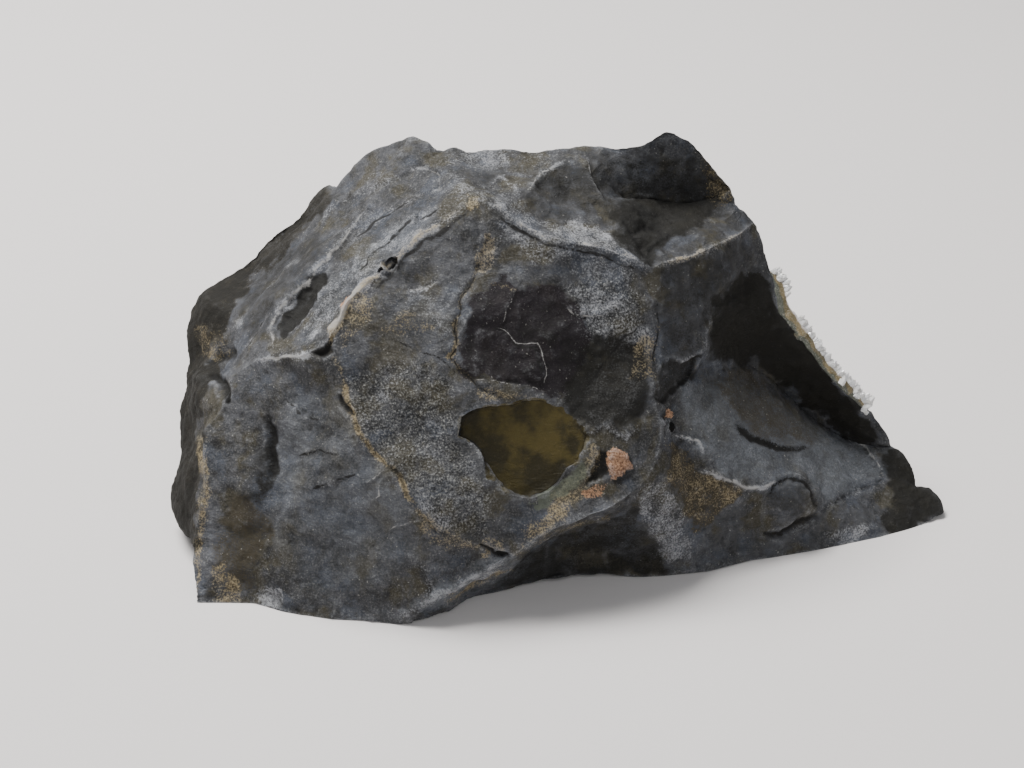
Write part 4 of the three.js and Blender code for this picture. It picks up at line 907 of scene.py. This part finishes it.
layer = bmesh.new()
layer.from_mesh(layer_mesh)
bmesh.ops.smooth_vert(
    layer, verts=layer.verts, factor=0.5, use_axis_x=True, use_axis_y=True, use_axis_z=True)
for v in layer.verts:
    v.co += v.normal * (ripple_mm * noise.fractal(v.co / ripple_size, 0.8, 2.1, 3)) * MM
for v in layer.verts:
    near, _, _, distance = rock_tree.find_nearest(v.co)
    if distance < root_gap:
        v.co += (near - v.co).normalized() * root_gap * sink_share
depths = [rock_tree.find_nearest(v.co)[3] / MM for v in layer.verts]
layer_tree = BVHTree.FromBMesh(layer)
layer.to_mesh(layer_mesh)
rim_seats = [(face.calc_center_median(), face.normal.copy()) for face in layer.faces]
layer.free()
depth_layer = layer_mesh.attributes.new("depth", "FLOAT", "POINT")
depth_layer.data.foreach_set("value", np.array(depths, np.float32))
layer_mesh.polygons.foreach_set("use_smooth", np.ones(len(layer_mesh.polygons), bool))

chalcedony = Finish("chalcedony_banded")
grain_parts = chalcedony.grain(0.7)
cloud, grit = grain_parts["Cloud"], grain_parts["Grit"]
depth = chalcedony.plus(chalcedony.mask("depth"), chalcedony.ramp(cloud, 0.3, 0.7, -0.35, 0.35))
body = chalcedony.layered(
    (0.1, 0.078, 0.032),
    (chalcedony.ramp(cloud, 0.35, 0.65), (0.22, 0.17, 0.085)),
    (chalcedony.ramp(depth, 1.3, 1.8), (0.66, 0.62, 0.6)),
    (chalcedony.ramp(depth, 0.55, 0.3), (0.07, 0.075, 0.055)),
    (chalcedony.ramp(grit, 0.5, 0.7, 0, 0.4), (0.75, 0.72, 0.66)),
)
normal = chalcedony.bump(grit, 0.12 * MM, 0.8, chalcedony.bump(cloud, 0.3 * MM, 0.6))
chalcedony.surface({"Base Color": body, "Roughness": 0.42, "Normal": normal})
add_piece("chalcedony_layer", layer_mesh, chalcedony.material, "amethyst", "crystal_crust")

# ---- amethyst points ---------------------------------------------------------------------------
# Quartz points grown side by side on the layer: six-sided, with a short prism and a pyramid whose
# faces are unequal. They are small and clear to white at the rim, larger and violet inside.

random.seed(7)
largest_point = 4.3 * MM
smallest_point = 0.75 * MM
rim_reach = 13 * MM
back_limit = 29.0 * MM
root_depth = 1.3 * MM
layer_probe = 5 * MM
rim_largest = 0.5 * MM
seat_tries = 13000
crowding = 0.62
lean = 0.28
sixth_turn = 1.05
crown_tilt = 0.14
tip_shift = 0.22

point_form = bmesh.new()
bmesh.ops.create_cone(point_form, cap_ends=True, segments=6, radius1=1, radius2=1, depth=1,
                      matrix=Matrix.Translation((0, 0, 0.5)))
crown = max(point_form.faces, key=lambda f: f.calc_center_median().z)
tip = bmesh.ops.poke(point_form, faces=[crown])["verts"][0]
tip.co.z = 2
point_form.verts.ensure_lookup_table()
form_places = np.array([v.co for v in point_form.verts])
form_faces = [[v.index for v in f.verts] for f in point_form.faces]
point_form.free()
form_crown = np.abs(form_places[:, 2] - 1) < 0.1
form_tip = form_places[:, 2] > 1.5


def grow(seats):
    """One mesh of all the crystals: seats are (foot, axis, radius, prism length, pyramid height)."""
    places = []
    for foot, axis, radius, prism, pyramid in seats:
        spin = Matrix.Rotation(random.uniform(0, sixth_turn), 3, "Z")
        turn = axis.to_track_quat("Z", "Y").to_matrix() @ spin
        form = form_places.copy()
        heights = np.where(form_crown, prism, np.where(form_tip, prism + pyramid, 0.0))
        tilts = np.array([crown_tilt * pyramid * random.uniform(-1, 1) for _ in range(len(form))])
        form[:, 2] = heights + np.where(form_crown, tilts, 0)
        form[:, :2] *= radius
        for side in (0, 1):
            form[form_tip, side] += radius * random.uniform(-tip_shift, tip_shift)
        placed = form @ np.array(turn).T + np.array(foot)
        if (placed < box_low).any() or (placed > box_high).any():
            continue
        places.append(placed)
    faces = [[i + n * len(form_places) for i in f] for n in range(len(places)) for f in form_faces]
    made = bpy.data.meshes.new("crystals")
    made.from_pydata(np.concatenate(places).tolist(), [], faces)
    made.update()
    return made


def leaning(axis, amount):
    """The axis, tipped a little to a random side."""
    tip_by = Vector((random.uniform(-1, 1), random.uniform(-1, 1), random.uniform(-1, 1)))
    return (axis + tip_by * amount).normalized()


# seats all over the lined wall, weighted by area; big crystals take their room first
edge_uses = {}
for corners in lined_faces:
    ends = [tuple(round(c, 6) for c in corner) for corner in corners]
    for edge_key in zip(ends, ends[1:] + ends[:1]):
        edge_key = tuple(sorted(edge_key))
        edge_uses[edge_key] = edge_uses.get(edge_key, 0) + 1
mouth = np.array([np.mean(key, axis=0) for key, uses in edge_uses.items() if uses == 1])
areas = [((b - a).cross(c - a)).length / 2 for a, b, c in lined_faces]
tries = random.choices(lined_faces, weights=areas, k=seat_tries)
candidates = []
for a, b, c in tries:
    u, v = random.random(), random.random()
    if u + v > 1:
        u, v = 1 - u, 1 - v
    seat = a + (b - a) * u + (c - a) * v
    normal = (b - a).cross(c - a).normalized()
    top = layer_tree.ray_cast(seat + normal * layer_probe, -normal, layer_probe)[0]
    if top is not None:
        candidates.append((top, normal))
seat_places = np.array([seat for seat, _ in candidates])
mouth_distance = np.array([np.min(np.linalg.norm(mouth - seat, axis=1)) for seat in seat_places])

right_rim = [(43.3, 18.6), (45.4, 16.2), (46.4, 13.4), (49, 10.4), (51, 7), (52.9, 3.4), (55.6, 1.2),
             (57.4, -1.6), (60.2, -5)]
white_reach_mm = 5
flat = sight_places(seat_places)[0]
rim_distance = line_distance(right_rim)[0]
rim_points = []
taken = np.empty((0, 3))
taken_radius = np.empty(0)
inner_points = []
between_sizes = [size * MM for size in (3.4, 2.6, 2.0, 1.5, 1.1)]
for size in (largest_point, *between_sizes, smallest_point, rim_largest):
    for index, (seat, normal) in enumerate(candidates):
        share = min(1.0, mouth_distance[index] / rim_reach)
        biggest = smallest_point + (largest_point - smallest_point) * share
        by_rim = rim_distance[index] < white_reach_mm
        if size > (rim_largest if by_rim else biggest * 1.05):
            continue
        radius = size * (0.85 + 0.3 * random.random())
        place = seat_places[index]
        if len(taken):
            room = np.linalg.norm(taken - place, axis=1) - crowding * (taken_radius + radius)
            if room.min() < 0:
                continue
        axis = leaning(normal, lean)
        root = min(root_depth, 0.35 * MM + 0.6 * radius)
        prism = radius * random.uniform(0.15, 0.6) + root
        pyramid = radius * random.uniform(1.0, 1.35)
        foot = seat - normal * root
        tip_place = foot + axis * (prism + pyramid)
        if tip_place.y > back_limit or tip_place.z > cad_box[1].z:
            continue
        taken = np.vstack((taken, place))
        taken_radius = np.append(taken_radius, radius)
        (rim_points if by_rim else inner_points).append((foot, axis, radius, prism, pyramid))

amethyst_mesh = grow(inner_points)
amethyst = Finish("amethyst_violet")
zoning = amethyst.lumps(9 * MM, 3)
veil = amethyst.lumps(1.2 * MM, 4, 0.6)
hue = amethyst.layered(
    (0.5, 0.36, 0.78),
    (amethyst.ramp(zoning, 0.35, 0.65), (0.26, 0.12, 0.5)),
    (amethyst.ramp(veil, 0.55, 0.8, 0, 0.5), (0.8, 0.76, 0.9)),
)
absorb = amethyst.node("ShaderNodeVolumeAbsorption", {"Color": (0.5, 0.28, 0.85), "Density": 130.0})
amethyst.feed(amethyst.tree.nodes["Material Output"].inputs["Volume"], absorb.outputs["Volume"])
quartz_ior = 1.544
amethyst.surface({"Base Color": hue, "Roughness": 0.07, "IOR": quartz_ior, "Transmission Weight": 0.7})
add_piece("amethyst_points", amethyst_mesh, amethyst.material, "amethyst")

# ---- rim points --------------------------------------------------------------------------------
# Along the broken right rim the layer ends in a white sugary edge of very small clear crystals,
# standing out past the ochre band. They are on the layer's own surface.

ochre_edge = [(43.5, 19.5), (44.9, 16.7), (47.9, 11.7), (49.6, 7.9), (51.9, 4.9), (54.4, 1.4), (57.1, -2.2)]
sugar_tries = 4200
sugar_lean = 0.35
sugar_root_mm = 0.4
flat = sight_places(np.array([place for place, _ in rim_seats]))[0]
edge_distance, edge_side, _ = line_distance(ochre_edge)
past_edge = edge_distance * edge_side
outward = Vector((0.8, 0.2, 0.5)).normalized()
chosen = [
    seat for seat, past, (across, up) in zip(rim_seats, past_edge, flat)
    if -0.4 < past < 7 and across > 41 and -4 < up < 21
]
random.shuffle(chosen)
for place, normal in chosen[:sugar_tries]:
    if normal.dot(outward) < -0.1 or normal.dot(towards_eye) > 0.45:
        continue
    axis = leaning((normal * 0.6 + outward).normalized(), sugar_lean)
    radius = random.uniform(0.25, 0.5) * MM
    prism = random.uniform(0.7, 1.3) * MM
    pyramid = radius * random.uniform(0.9, 1.4)
    rim_points.append((place - axis * sugar_root_mm * MM, axis, radius, prism, pyramid))
rim_mesh = grow(rim_points)
sugar = Finish("quartz_white")
frost = sugar.lumps(0.8 * MM, 3)
white = sugar.mix(sugar.ramp(frost, 0.3, 0.7), (0.86, 0.84, 0.8), (0.95, 0.95, 0.96))
sugar.surface({"Base Color": white, "Roughness": 0.16, "IOR": quartz_ior, "Transmission Weight": 0.25})
add_piece("rim_points", rim_mesh, sugar.material, "amethyst")

# ---- floor, light and camera -------------------------------------------------------------------
# A plain pale floor, a soft window light from behind and above on the left, a weak one in front,
# and the camera at the eye that the places of the front are given from.

floor_form = bmesh.new()
bmesh.ops.create_grid(floor_form, x_segments=1, y_segments=1, size=2.5)
floor_mesh = bpy.data.meshes.new("floor")
floor_form.to_mesh(floor_mesh)
floor_form.free()
floor = bpy.data.objects.new("floor", floor_mesh)
bpy.context.scene.collection.objects.link(floor)
pale = Finish("floor_pale")
pale.surface({"Base Color": (0.66, 0.635, 0.625), "Roughness": 0.9})
floor_mesh.materials.append(pale.material)


def add_light(name, place, aim, size, power, tint):
    """A square soft light."""
    lamp = bpy.data.lights.new(name, "AREA")
    lamp.size = size
    lamp.energy = power
    lamp.color = tint
    holder = bpy.data.objects.new(name, lamp)
    holder.location = place
    holder.rotation_euler = (Vector(aim) - Vector(place)).to_track_quat("-Z", "Y").to_euler()
    bpy.context.scene.collection.objects.link(holder)


middle = (0, 0, 0.03)
add_light("window", (-0.3, 0.22, 0.75), middle, 0.4, 16, (1.0, 0.99, 0.97))
add_light("room", (0.1, -0.8, 0.6), middle, 0.8, 3.2, (0.96, 0.98, 1.0))
world = bpy.data.worlds.new("studio")
world.use_nodes = True
world.node_tree.nodes["Background"].inputs["Color"].default_value = (0.96, 0.97, 1.0, 1)
world.node_tree.nodes["Background"].inputs["Strength"].default_value = 0.26
bpy.context.scene.world = world

camera_data = bpy.data.cameras.new("camera")
camera_data.lens = 63.28
camera_data.sensor_width = 36
camera_data.clip_start = 0.01
camera = bpy.data.objects.new("camera", camera_data)
camera.location = eye
camera.rotation_euler = (-towards_eye).to_track_quat("-Z", "Y").to_euler()
bpy.context.scene.collection.objects.link(camera)
bpy.context.scene.camera = camera
